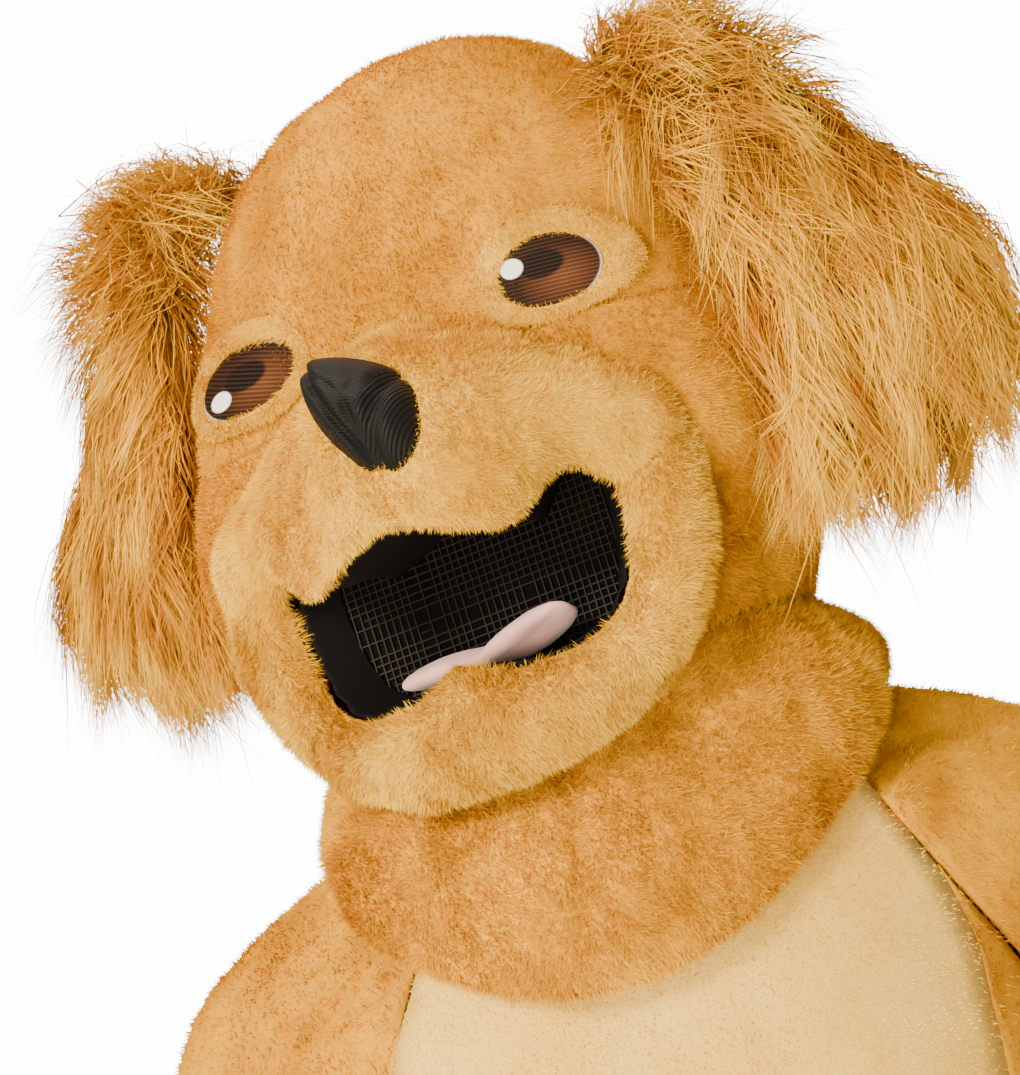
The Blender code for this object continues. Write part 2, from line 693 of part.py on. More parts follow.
def build_ear(name, side, frame):
    """A thick flap of long pile that leaves the crown sideways and hangs in front-facing breadth."""
    rings = []
    for share in (0.0, 0.5, 1.0):
        ring = []
        for c in range(EAR_COLUMNS):
            angle = 2 * math.pi * c / EAR_COLUMNS
            phi = EAR_ROOT[0] + EAR_ROOT_HALF[0] * share * math.cos(angle)
            z = EAR_ROOT[1] + EAR_ROOT_HALF[1] * share * math.sin(angle)
            ring.append(above_skull(phi, z, EAR_SEAT))
        rings.append(ring)
    for r in range(EAR_ROWS):
        place = EAR.last * r / (EAR_ROWS - 1)
        row = EAR.at(place)
        if place < EAR.last:
            following = EAR.at(place + EAR_STEP)
        else:
            before = EAR.at(place - EAR_STEP)
            following = {k: 2 * row[k] - before[k] for k in row}
        rings.append(ear_ring(row, following))
    middle = np.mean(rings[-1], axis=0)
    tip = []
    for c, p in enumerate(rings[-1]):
        across = math.cos(2 * math.pi * c / EAR_COLUMNS)
        lock = abs((across * EAR_LOCKS) % 2 - 1)
        drop = EAR_LOCK_DROP[0] + EAR_LOCK_DROP[1] * lock * (1 - 0.5 * abs(across))
        q = middle + (p - middle) * 0.8
        tip.append(q + np.array((0, 0, -drop)))
    rings.append(tip)
    rings.append([middle + np.array((0, 0, -EAR_LOCK_DROP[0]))] * EAR_COLUMNS)
    rings = np.array(rings)
    below = np.maximum(EAR_ROOT[1] - rings[..., 2], 0.0)
    rings[..., 0] += EAR_SWING[side] * below * np.minimum(below / 60.0, 1.0)
    rings[..., 0] += EAR_SPREAD[side] * np.maximum(rings[..., 0] - EAR.rows[0][0], 0.0)
    rings[..., 2] += EAR_SHORTER[side] * below
    return add_object(name, body_mesh(name, mirrored(rings, side)), FUR, frame)


# Lower edge of the bib, round the neck: direction, distance from the neck's middle, height.
BIB_EDGE = Table("phi out z", [
    (-180, 150, -30), (-150, 150, -28), (-120, 156, -24), (-97, 163, -22), (-80, 168, -26),
    (-56, 188, -75), (-42, 181, -102), (-30, 173, -117), (-18, 170, -125), (-3, 168, -126),
    (9, 169, -117), (24, 171, -95), (45, 178, -51), (63, 177, -7), (76, 169, 10),
    (92, 163, 18), (120, 155, 8), (150, 150, -14), (180, 150, -30)])
BIB_WALL = 8.0
BIB_HEM = 4.7                # how much fuller the bib is at its hem, where it lies on the chest
BIB_COLUMNS = 32
BIB_ROWS = 9
BIB_IN_RIM = 0.97            # share of the neck rim's width at the bib's upper end
BIB_DROP = 0.45              # seam gap between the rim and the bib
BIB_FLARE = 0.30


def head_to_world(p):
    nod, tilt, turn = (math.radians(a) for a in HEAD_TURN)
    about_x = np.array(((1, 0, 0), (0, math.cos(nod), -math.sin(nod)), (0, math.sin(nod), math.cos(nod))))
    about_y = np.array(((math.cos(tilt), 0, math.sin(tilt)), (0, 1, 0), (-math.sin(tilt), 0, math.cos(tilt))))
    about_z = np.array(((math.cos(turn), -math.sin(turn), 0), (math.sin(turn), math.cos(turn), 0), (0, 0, 1)))
    return about_z @ about_y @ about_x @ np.asarray(p, float) + np.array(HEAD_AT)


def build_bib():
    outer = np.zeros((BIB_ROWS, BIB_COLUMNS, 3))
    for c in range(BIB_COLUMNS):
        phi = -180 + 360 * c / BIB_COLUMNS
        edge = BIB_EDGE.at(BIB_EDGE.along("phi", phi))
        direction = math.radians(phi)
        low = np.array((edge["out"] * math.sin(direction), -edge["out"] * math.cos(direction), edge["z"]))
        rim = SKULL.on_ring(phi - HEAD_TURN[2], SKULL.last)
        top = head_to_world(rim * (BIB_IN_RIM, BIB_IN_RIM, 1.0) - (0, 0, BIB_DROP))
        drop = top[2] - low[2]
        outward = np.array((math.sin(direction), -math.cos(direction), 0.0))
        under = top + np.array((0, 0, -0.2 * drop)) + outward * 22.0
        above = low + outward * BIB_FLARE * drop * 0.4 + np.array((0, 0, 0.42 * drop))
        for r in range(BIB_ROWS):
            outer[r, c] = bezier(top, under, above, low, r / (BIB_ROWS - 1))
    wall = BIB_WALL + BIB_HEM * (np.arange(BIB_ROWS) / (BIB_ROWS - 1)) ** 2
    inward_ways = -grid_normals(outer, True)
    if np.dot(inward_ways[4, 0], outer[4, 0] * (1, 1, 0)) > 0:
        inward_ways = -inward_ways
    inner = outer + inward_ways * wall[:, None, None]
    return add_object("bib", wall_mesh("bib", outer, inner, True), GOLDEN)


# Rings of the torso from the neckline down to the hips, level, round the chest's own middle.
TORSO = Form([
    (-6, 10, 15, 88, 72, 76, 2.0),
    (-20, 1, 7, 115, 90, 92, 2.0),
    (-46, -18, -10, 155, 112, 112, 2.1),
    (-84, -48, -42, 198, 136, 131, 2.2),
    (-140, -125, -120, 222, 153, 145, 2.3),
    (-225, -225, -225, 214, 159, 146, 2.3),
    (-330, -330, -330, 206, 166, 138, 2.3),
    (-450, -450, -450, 203, 161, 134, 2.2),
    (-560, -560, -560, 208, 146, 142, 2.2),
], back_square=2.2)
HIP_Z = -560.0

# Raglan seam from the front of the neckline under the arm to the back of the neckline.
RAGLAN = Table("phi z", [
    (50, -2), (50, -58), (53, -112), (62, -165), (74, -208), (90, -234),
    (106, -208), (119, -165), (128, -112), (131, -56), (130, 12)])
RAGLAN_INSET = 0.5
NECK_SLOPE = 0.5             # how far the wall's direction dips at the neckline
RAGLAN_STEPS = 2             # samples for each of the table's rows
BELLY_CORNER = 2             # the row where the belly's seam leaves the raglan seam
UNDERARM = 5
BELLY_SEAM = Table("phi z", [
    (53, -112), (56, -160), (56, -225), (58, -350), (54, -470), (42, -560)])
BELLY_COLUMNS = 13
BELLY_INSET = 0.14           # degrees that belly and torso each stop short of their seam
TORSO_ROWS = 11
NECK_STEPS = 4               # columns along the back of the neckline
SHOULDER_STEPS = 4           # points along the neckline between the front and back raglan seams


def lifted(points):
    """Body points in the costume's frame: moved to the chest's middle, with one shoulder raised."""
    moved = np.array(points, float)
    high, low = LIFT_FADES
    fade = np.clip((moved[..., 2] - low) / (high - low), 0, 1)
    side = np.clip(moved[..., 0] / LIFT_SPAN, -1.5, 1.5)
    moved[..., 2] += SHOULDER_LIFT * side * fade * fade * (3 - 2 * fade)
    moved[..., 0] += BODY_X
    return moved


def raglan_samples():
    count = RAGLAN.last * RAGLAN_STEPS
    rows = [RAGLAN.at(i / RAGLAN_STEPS) for i in range(count + 1)]
    return np.array([TORSO.at(row["phi"], row["z"]) for row in rows])


def seam_frames(samples):
    """For each sample of the raglan seam: the wall's direction there, and the way across to the sleeve."""
    count = len(samples)
    directions, across = [], []
    for i, p in enumerate(samples):
        level = unit(np.array((-p[0], -p[1], 0.0)))
        under = smooth(1 - abs(i / RAGLAN_STEPS - UNDERARM) / 3.2)
        slope = NECK_SLOPE * smooth(1 - min(i, count - 1 - i) / (2.5 * RAGLAN_STEPS))
        direction = unit(level * (1 - 0.8 * under) + np.array((0, 0, under - slope * (1 - under))))
        tangent = unit(samples[min(i + 1, count - 1)] - samples[max(i - 1, 0)])
        way = unit(np.cross(tangent, direction))
        directions.append(direction)
        across.append(way)
    return np.array(directions), np.array(across)


def body_panel(name, outer, directions, finish, side, closed=False):
    inner = inward(outer, directions, BODY_WALL, closed)
    outer, inner = (lifted(mirrored(g, side)) for g in (outer, inner))
    return add_object(name, wall_mesh(name, outer, inner, closed), finish)


def build_belly():
    corner = BELLY_CORNER * RAGLAN_STEPS
    side = [RAGLAN.at(i / RAGLAN_STEPS) for i in range(corner + 1)]
    side += [BELLY_SEAM.at(BELLY_SEAM.last * r / (TORSO_ROWS - 1)) for r in range(1, TORSO_ROWS)]
    outer = np.zeros((len(side), BELLY_COLUMNS, 3))
    for r, row in enumerate(side):
        for c in range(BELLY_COLUMNS):
            share = 2 * c / (BELLY_COLUMNS - 1) - 1
            phi = (row["phi"] - BELLY_INSET) * share
            outer[r, c] = TORSO.at(phi, row["z"]) if r else TORSO.on_ring(phi, 0)
    directions = rays_to_axis(outer)
    seam_directions = seam_frames(raglan_samples())[0]
    for r in range(corner + 1):
        level = math.hypot(*seam_directions[r, :2])
        directions[r] *= level
        directions[r, :, 2] = seam_directions[r, 2]
    return body_panel("belly", inset_edges(outer, sides="tb"), directions, CREAM, 1)


def build_torso(name, side):
    """A side of the jumpsuit, from the belly's seam round to the centre back."""
    samples = raglan_samples()
    seam_directions, seam_across = seam_frames(samples)
    corner = BELLY_CORNER * RAGLAN_STEPS
    top = [(RAGLAN.at(i / RAGLAN_STEPS)["phi"], RAGLAN.at(i / RAGLAN_STEPS)["z"])
           for i in range(corner, len(samples))]
    neck_phi = RAGLAN.rows[-1][0]
    for i in range(1, NECK_STEPS + 1):
        phi = neck_phi + (180 - neck_phi) * i / NECK_STEPS
        top.append((phi, TORSO.on_ring(phi, 0)[2]))
    columns = len(top)
    outer = np.zeros((TORSO_ROWS, columns, 3))
    for c, (phi, z) in enumerate(top):
        for r in range(TORSO_ROWS):
            t = r / (TORSO_ROWS - 1)
            if c == 0:
                row = BELLY_SEAM.at(BELLY_SEAM.last * t)
                outer[r, c] = TORSO.at(row["phi"] + BELLY_INSET, row["z"])
                continue
            beside = BELLY_SEAM.at(BELLY_SEAM.last * t)
            seam = beside["phi"]
            along = (beside["z"] - BELLY_SEAM.rows[0][1]) / (HIP_Z - BELLY_SEAM.rows[0][1])
            share = along + (t - along) * c / (columns - 1)
            fair = seam + (180 - seam) * c / (columns - 1)
            at = phi + (fair - phi) * smooth(t / 0.6)
            outer[r, c] = TORSO.at(at, z + (HIP_Z - z) * share)
    directions = rays_to_axis(outer)
    seam_end = len(samples) - corner
    directions[0, :seam_end] = seam_directions[corner:]
    inset = inset_edges(outer, sides="tbr")
    inset[0, :seam_end] = outer[0, :seam_end] - seam_across[corner:] * RAGLAN_INSET
    inset[0, 0] = outer[0, 0] + unit(outer[1, 1] - outer[0, 0]) * RAGLAN_INSET
    return body_panel(name, inset, directions, GOLDEN, side)


# Rings of the arm: middle, half-length vector from the underarm up, and half depth.
ARM = Table("x y z up_x up_z depth", [
    (242, 2, -154, 22, 86, 77),
    (258, 0, -183, 32, 78, 76),
    (266, -4, -236, 43, 62, 72),
    (272, -8, -305, 51, 34, 68),
    (283, -14, -400, 55, 12, 65),
    (292, -24, -500, 53, 8, 59),
    (300, -36, -590, 50, 6, 55),
    (304, -44, -650, 49, 5, 54),
])
SLEEVE_MORPH = 4             # rows between the seam and the first ring of the arm
SLEEVE_ROWS = 10
NECK_DIP = 70.0
SHOULDER_PUFF = 0.14


def build_sleeve(name, side):
    """A raglan sleeve: a tube that starts along the seam and the neckline and ends at an open cuff."""
    samples = raglan_samples()
    seam_directions, seam_across = seam_frames(samples)
    under = UNDERARM * RAGLAN_STEPS
    front, back = samples[under::-1], samples[:under - 1:-1]
    first, last = RAGLAN.rows[0][0], RAGLAN.rows[-1][0]
    over = [TORSO.on_ring(first + (last - first) * i / (SHOULDER_STEPS + 1), 0)
            for i in range(1, SHOULDER_STEPS + 1)]
    loop = np.array(list(front) + over + list(back[:-1]))
    across = np.zeros_like(loop)
    across[:under + 1] = seam_across[under::-1]
    across[under + 1 + SHOULDER_STEPS:] = seam_across[:under:-1]
    start_ways = np.zeros_like(loop)
    start_ways[:under + 1] = seam_directions[under::-1]
    start_ways[under + 1 + SHOULDER_STEPS:] = seam_directions[:under:-1]
    for i in range(under + 1, under + 1 + SHOULDER_STEPS):
        start_ways[i] = unit(np.array((-loop[i, 0], -loop[i, 1], -NECK_DIP)))
    count = len(loop)
    rows = SLEEVE_MORPH + SLEEVE_ROWS
    outer = np.zeros((rows, count, 3))
    middles = np.zeros((rows, 3))
    outer[0] = loop + across * RAGLAN_INSET
    for r in range(1, rows):
        place = 0 if r <= SLEEVE_MORPH else ARM.last * (r - SLEEVE_MORPH) / (SLEEVE_ROWS - 1)
        ring = ARM.at(place)
        middles[r] = (ring["x"], ring["y"], ring["z"])
        for i in range(count):
            angle = 2 * math.pi * i / count
            up = np.array((ring["up_x"], 0, ring["up_z"]))
            ahead = np.array((0, -ring["depth"], 0))
            outer[r, i] = middles[r] - up * math.cos(angle) + ahead * math.sin(angle)
    first_ring = outer[SLEEVE_MORPH].copy()
    for r in range(1, SLEEVE_MORPH):
        t = r / SLEEVE_MORPH
        for i in range(count):
            span = np.linalg.norm(first_ring[i] - loop[i])
            out = unit(np.array((0.0, loop[i, 1], 60.0)))
            outer[r, i] = loop[i] + (first_ring[i] - loop[i]) * t + out * span * SHOULDER_PUFF * t * (1 - t)
    middles[:SLEEVE_MORPH] = middles[SLEEVE_MORPH]
    ways = np.array([rays_to(outer[r:r + 1], middles[r])[0] for r in range(rows)])
    for r in range(SLEEVE_MORPH):
        share = r / SLEEVE_MORPH
        ways[r] = start_ways * (1 - share) + ways[r] * share
    ways /= np.linalg.norm(ways, axis=2, keepdims=True)
    return body_panel(name, outer, ways, GOLDEN, side, True)


# Rings of the leg below the crotch: middle, half width and half depth.
LEG = Table("x y z wide deep", [
    (108, 2, -755, 97, 118),
    (112, 2, -850, 92, 106),
    (117, 0, -960, 86, 96),
    (121, -4, -1060, 81, 89),
    (125, 0, -1180, 79, 86),
    (129, 2, -1290, 77, 84),
    (132, 0, -1385, 77, 84),
])
CROTCH_Z = -690.0
LEG_POINTS = 10              # points over the hip, and again along the crotch
LEG_MORPH = 4
LEG_ROWS = 9
CROTCH_RISE = 117.0
THIGH_X = 70.0
LEG_REACH = 0.36


def leg_seams():
    """The leg's upper edge, hip then crotch: points, the wall's directions, and the way off the seam."""
    front, back = TORSO.at(0, HIP_Z), TORSO.at(180, HIP_Z)
    loop, ways, off = [], [], []
    for i in range(LEG_POINTS):
        p = TORSO.at(180 * i / LEG_POINTS, HIP_Z)
        loop.append(p)
        ways.append((-p[0], -p[1], 0) if i else (0, 1, 0))
        off.append((0 if i else 1, 0, -1))
    for i in range(LEG_POINTS):
        angle = math.pi * i / LEG_POINTS
        under = math.sin(angle)
        y = back[1] + (front[1] - back[1]) * (1 - math.cos(angle)) / 2
        loop.append(np.array((0.0, y, HIP_Z + (CROTCH_Z - HIP_Z) * under ** 0.9)))
        ways.append((0, -y * (1 - 0.9 * under), CROTCH_RISE * under) if i else (0, -1, 0))
        off.append((1, 0, 0 if i else -1))
    ways = np.array([unit(np.array(w, float)) for w in ways])
    return np.array(loop), ways, np.array(off) * SEAM_INSET


def build_leg(name, side):
    """A leg: a tube from the hip seam and the crotch seam to an open hem."""
    loop, start_ways, off = leg_seams()
    count = len(loop)
    rows = LEG_MORPH + LEG_ROWS
    outer = np.zeros((rows, count, 3))
    middles = np.zeros((rows, 3))
    for r in range(1, rows):
        ring = LEG.at(0 if r <= LEG_MORPH else LEG.last * (r - LEG_MORPH) / (LEG_ROWS - 1))
        middles[r] = (ring["x"], ring["y"], ring["z"])
        for i in range(count):
            turn = math.pi * i / LEG_POINTS
            outer[r, i] = middles[r] + (ring["wide"] * math.sin(turn), -ring["deep"] * math.cos(turn), 0)
    thigh = outer[LEG_MORPH].copy()
    outer[0] = loop + off
    for r in range(1, LEG_MORPH):
        for i in range(count):
            reach = np.linalg.norm(thigh[i] - loop[i]) * LEG_REACH
            down = np.array((0, 0, -1.0)) if i <= LEG_POINTS else unit(np.array((0.5, 0, -1.0)))
            above = thigh[i] + (0, 0, reach)
            outer[r, i] = bezier(loop[i], loop[i] + down * reach, above, thigh[i], r / LEG_MORPH)
    ways = np.array([rays_to(outer[r:r + 1], middles[r])[0] for r in range(rows)])
    for r in range(1, LEG_MORPH):
        share = r / LEG_MORPH
        level = np.array((THIGH_X, 0.0, outer[r, :, 2].mean()))
        ways[r] = rays_to(outer[r:r + 1], level)[0] * (1 - share) + ways[r] * share
    ways[0] = start_ways
    ways /= np.linalg.norm(ways, axis=2, keepdims=True)
    return body_panel(name, outer, ways, GOLDEN, side, True)


def clear_scene():
    for obj in list(bpy.data.objects):
        bpy.data.objects.remove(obj)


def main():
    clear_scene()
    frame = bpy.data.objects.new("head_frame", None)
    bpy.context.scene.collection.objects.link(frame)
    frame.location = [v * MM for v in HEAD_AT]
    frame.rotation_euler = [math.radians(a) for a in HEAD_TURN]
    build_crown(frame)
    build_muzzle(frame)
    build_throat(frame)
    build_lining(frame)
    build_screen(frame)
    build_tongue(frame)
    build_nose(frame)
    for side, word in ((1, "left"), (-1, "right")):
        build_cheek("cheek_" + word, side, frame)
        build_jaw("jaw_" + word, side, frame)
        build_patch("eye_patch_" + word, side, frame)
        build_eye("eye_" + word, side, frame)
        build_ear("ear_" + word, side, frame)
    build_bib()
    build_belly()
    for side, word in ((1, "left"), (-1, "right")):
        build_torso("torso_" + word, side)
        build_sleeve("sleeve_" + word, side)
        build_leg("leg_" + word, side)


main()
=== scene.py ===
import math

import bmesh
import bpy
import numpy as np
from mathutils import Matrix, Quaternion, Vector, kdtree


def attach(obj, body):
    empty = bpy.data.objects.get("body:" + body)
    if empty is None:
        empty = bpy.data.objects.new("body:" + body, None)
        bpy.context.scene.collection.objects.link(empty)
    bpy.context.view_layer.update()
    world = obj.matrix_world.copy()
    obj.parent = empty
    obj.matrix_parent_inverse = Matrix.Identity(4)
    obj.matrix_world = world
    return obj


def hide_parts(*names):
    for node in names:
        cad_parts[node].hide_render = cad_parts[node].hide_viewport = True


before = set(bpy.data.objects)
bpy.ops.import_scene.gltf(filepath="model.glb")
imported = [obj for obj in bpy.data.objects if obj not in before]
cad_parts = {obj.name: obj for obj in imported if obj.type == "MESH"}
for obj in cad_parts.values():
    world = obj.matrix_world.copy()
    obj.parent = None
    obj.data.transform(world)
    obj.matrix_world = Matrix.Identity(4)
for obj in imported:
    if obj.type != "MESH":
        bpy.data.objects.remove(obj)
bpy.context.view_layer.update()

mm = 0.001

# the head is turned, tilted and nodding on the shoulders; its plush points away from its core
headPose = {"at": (-28, 15, 238), "turn": (-5, -8, -24), "core": (0, -55, -105)}
headTurn = Matrix.Rotation(math.radians(headPose["turn"][2]), 4, "Z")
headTurn = headTurn @ Matrix.Rotation(math.radians(headPose["turn"][1]), 4, "Y")
headTurn = headTurn @ Matrix.Rotation(math.radians(headPose["turn"][0]), 4, "X")
headMatrix = Matrix.Translation(Vector(headPose["at"]) * mm) @ headTurn
headInverse = headMatrix.inverted()
headCore = np.array(headMatrix @ (Vector(headPose["core"]) * mm))


def say(text):
    print("dog costume:", text)


def readVerts(mesh):
    co = np.empty(len(mesh.vertices) * 3)
    mesh.vertices.foreach_get("co", co)
    return co.reshape(-1, 3)


def writeVerts(mesh, co):
    mesh.vertices.foreach_set("co", np.asarray(co, float).ravel())
    mesh.update()


def readNormals(mesh):
    n = np.empty(len(mesh.vertices) * 3)
    mesh.vertices.foreach_get("normal", n)
    return n.reshape(-1, 3)


def cornerVerts(mesh):
    # the vertex at each corner of each face
    corners = np.empty(len(mesh.loops), int)
    mesh.loops.foreach_get("vertex_index", corners)
    return corners


def placed(name, data):
    made = bpy.data.objects.new(name, data)
    bpy.context.scene.collection.objects.link(made)
    return made


def unitRows(v):
    return v / np.maximum(np.linalg.norm(v, axis=-1, keepdims=True), 1e-9)


def toHead(co):
    m = np.array(headInverse)
    return co @ m[:3, :3].T + m[:3, 3]


def fromHead(co):
    m = np.array(headMatrix)
    return np.asarray(co, float) @ m[:3, :3].T + m[:3, 3]


roundFacts = {"merge": 0.00001, "quadAngle": 60, "hemAngle": 55}


def softCopy(nodeName, pieceName, levels=2, hem=0.0):
    # the solid's own form, merged, turned to quads and rounded; hem keeps its hard edges crisp
    bm = bmesh.new()
    bm.from_mesh(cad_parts[nodeName].data)
    bmesh.ops.remove_doubles(bm, verts=bm.verts, dist=roundFacts["merge"])
    quadAngle = math.radians(roundFacts["quadAngle"])
    bmesh.ops.join_triangles(bm, faces=bm.faces, angle_face_threshold=quadAngle, angle_shape_threshold=quadAngle)
    if hem:
        held = bm.edges.layers.float.new("crease_edge")
        for edge in bm.edges:
            if len(edge.link_faces) == 2 and edge.calc_face_angle() > math.radians(roundFacts["hemAngle"]):
                edge[held] = hem
    mesh = bpy.data.meshes.new(pieceName)
    bm.to_mesh(mesh)
    bm.free()
    mesh.materials.clear()
    piece = placed(pieceName, mesh)
    rounded = piece.modifiers.new("rounded", "SUBSURF")
    rounded.levels = rounded.render_levels = levels
    depsgraph = bpy.context.evaluated_depsgraph_get()
    finished = bpy.data.meshes.new_from_object(piece.evaluated_get(depsgraph))
    piece.modifiers.clear()
    piece.data = finished
    finished.name = pieceName
    bpy.data.meshes.remove(mesh)
    piece.data.shade_smooth()
    return piece


def fromCore(co):
    return unitRows(co - headCore)


def fromAxis(x):
    # away from an upright line
    def outward(co):
        away = co - (x * mm, 0.0, 0)
        away[:, 2] = 0
        return unitRows(away)
    return outward


def fromLine(points):
    # away from the nearest place on a bent centre line
    line = np.array(points, float) * mm

    def outward(co):
        best = np.full(len(co), 1e9)
        away = np.zeros_like(co)
        for a, b in zip(line[:-1], line[1:]):
            along = b - a
            t = np.clip(((co - a) @ along) / (along @ along), 0, 1)
            offset = co - (a + t[:, None] * along)
            far = np.linalg.norm(offset, axis=1)
            nearer = far < best
            best[nearer] = far[nearer]
            away[nearer] = offset[nearer]
        return unitRows(away)
    return outward


waveFacts = {"layers": 5, "sizes": (0.6, 1.5), "phase": 6.28}


def waves(co, size, seed):
    # smooth uneven values from about -1 to 1, the same on every run
    rng = np.random.default_rng(seed)
    total = np.zeros(len(co))
    for _ in range(waveFacts["layers"]):
        way = unitRows(rng.normal(size=3)) * (2 * math.pi / (size * mm)) * rng.uniform(*waveFacts["sizes"])
        total += np.sin(co @ way + rng.uniform(0, waveFacts["phase"]))
    return total / math.sqrt(waveFacts["layers"])


def ride(piece, nodes):
    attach(piece, "root")
    if nodes:
        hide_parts(*nodes)


def shaderTree(name):
    made = bpy.data.materials.new(name)
    made.use_nodes = True
    tree = made.node_tree
    return made, tree, tree.nodes["Principled BSDF"]


def node(tree, kind, **values):
    made = tree.nodes.new(kind)
    for key, value in values.items():
        if key in made.inputs:
            made.inputs[key].default_value = value
        else:
            setattr(made, key, value)
    return made


def noiseValue(tree, coords, scale, detail=2.0, rough=0.5, stretch=None):
    source = coords
    if stretch:
        mapping = node(tree, "ShaderNodeMapping")
        mapping.inputs["Scale"].default_value = stretch
        tree.links.new(coords, mapping.inputs["Vector"])
        source = mapping.outputs["Vector"]
    made = node(tree, "ShaderNodeTexNoise", Scale=scale, Detail=detail, Roughness=rough)
    tree.links.new(source, made.inputs["Vector"])
    return made.outputs["Fac"]


def ramp(tree, value, stops):
    made = node(tree, "ShaderNodeValToRGB")
    band = made.color_ramp
    while len(band.elements) < len(stops):
        band.elements.new(0.5)
    for element, (place, colour) in zip(band.elements, stops):
        element.position = place
        element.color = (*colour, 1)
    tree.links.new(value, made.inputs["Fac"])
    return made.outputs["Color"]


def mix(tree, first, second, share, how="MIX"):
    made = tree.nodes.new("ShaderNodeMix")
    made.data_type = "RGBA"
    made.blend_type = how
    # a colour mix takes its share in socket 0 and its colours in 6 and 7, and gives its result in 2
    for value, socket in ((share, made.inputs[0]), (first, made.inputs[6]), (second, made.inputs[7])):
        if hasattr(value, "is_linked"):
            tree.links.new(value, socket)
        elif isinstance(value, (int, float)):
            socket.default_value = value
        else:
            socket.default_value = (*value, 1)
    return made.outputs[2]


def finish(shader, values):
    for socket, value in values.items():
        shader.inputs[socket].default_value = value


def addBump(tree, shader, height, strength, distance):
    bump = node(tree, "ShaderNodeBump", Strength=strength, Distance=distance)
    tree.links.new(height, bump.inputs["Height"])
    tree.links.new(bump.outputs["Normal"], shader.inputs["Normal"])


white = (1.0, 1.0, 1.0)
plushFacts = {
    "patch": 22.0, "edge": 0.15, "squash": (1.0, 1.0, 0.72), "wide": [(0.35, (0.90, 0.82, 0.70)), (0.62, white)],
    "wideSize": 0.32, "wideShare": 0.7,
    # upBlade darkens each blade towards its root: painted shade deep in the pile
    "upBlade": [(0.0, (0.78, 0.66, 0.46)), (0.55, (0.97, 0.94, 0.88)), (1.0, white)],
    "ownTone": [(0.0, (0.84, 0.78, 0.70)), (0.5, white), (1.0, white)], "ownShare": 0.9,
    "fine": [(0.3, (0.66, 0.56, 0.46)), (0.7, white)], "fineSize": 900.0, "fineShare": 0.8, "bump": (0.5, 0.0015),
    "finish": {"Roughness": 0.85, "Specular IOR Level": 0.0, "Sheen Weight": 0.04, "Sheen Roughness": 0.4,
               "Sheen Tint": (1.0, 0.72, 0.28, 1)},
}


def plush(name, dark, light, strand=False):
    # painted light and shade: the pile's colour is lighter and darker in patches, where its nap lies another way and
    # would catch the light differently
    f = plushFacts
    made, tree, shader = shaderTree(name)
    coords = node(tree, "ShaderNodeTexCoord")
    place = coords.outputs["Object"]
    napLightAndShade = noiseValue(tree, place, f["patch"], detail=4.0, rough=0.55, stretch=f["squash"])
    colour = ramp(tree, napLightAndShade, [(0.5 - f["edge"], dark), (0.5 + f["edge"], light)])
    wide = noiseValue(tree, place, f["patch"] * f["wideSize"])
    colour = mix(tree, colour, ramp(tree, wide, f["wide"]), f["wideShare"], "MULTIPLY")
    if strand:
        halves = node(tree, "ShaderNodeSeparateXYZ")
        tree.links.new(coords.outputs["UV"], halves.inputs["Vector"])
        # painted shade: each blade is darker towards its root
        colour = mix(tree, colour, ramp(tree, halves.outputs["Y"], f["upBlade"]), 1.0, "MULTIPLY")
        colour = mix(tree, colour, ramp(tree, halves.outputs["X"], f["ownTone"]), f["ownShare"], "MULTIPLY")
    else:
        fine = noiseValue(tree, place, f["fineSize"], detail=3.0, rough=0.7)
        colour = mix(tree, colour, ramp(tree, fine, f["fine"]), f["fineShare"], "MULTIPLY")
        addBump(tree, shader, fine, *f["bump"])
    tree.links.new(colour, shader.inputs["Base Color"])
    finish(shader, f["finish"])
    return made


# each key is a colour of cloth; its dark and light are that cloth in painted shade and painted light, for the nap's
# patches
pileColours = {
    "golden": {"dark": (0.58, 0.245, 0.002), "light": (0.84, 0.42, 0.005)},
    # collar: the golden cloth made lighter, painted light that makes up for the shade under the chin
    "collar": {"dark": (0.66, 0.30, 0.003), "light": (0.96, 0.54, 0.012)},
    "pale": {"dark": (0.78, 0.42, 0.010), "light": (0.98, 0.65, 0.055)},
    "cream": {"dark": (0.96, 0.62, 0.10), "light": (1.0, 0.70, 0.16)},
}
clothMaterials = {key: plush(key + "Plush", c["dark"], c["light"]) for key, c in pileColours.items()}
strandMaterials = {key: plush(key + "Pile", c["dark"], c["light"], strand=True) for key, c in pileColours.items()}


longFurFacts = {
    # upBlade: the fur's own tones from root to tip, with painted shade darkening the roots deep in the fur
    "upBlade": [(0.0, (0.24, 0.09, 0.002)), (0.35, (0.62, 0.28, 0.004)), (0.7, (0.84, 0.46, 0.015)),
                (1.0, (0.97, 0.68, 0.07))],
    "ownTone": [(0.0, (0.46, 0.34, 0.20)), (0.3, (0.88, 0.74, 0.52)), (0.6, (1.0, 0.96, 0.86)), (1.0, white)],
    "streaks": [(0.38, (0.62, 0.40, 0.20)), (0.56, white)], "streakSize": 30.0, "streakShare": 0.85,
    "finish": {"Roughness": 0.6, "Specular IOR Level": 0.05, "Sheen Weight": 0.05, "Sheen Tint": (1.0, 0.78, 0.4, 1)},
}


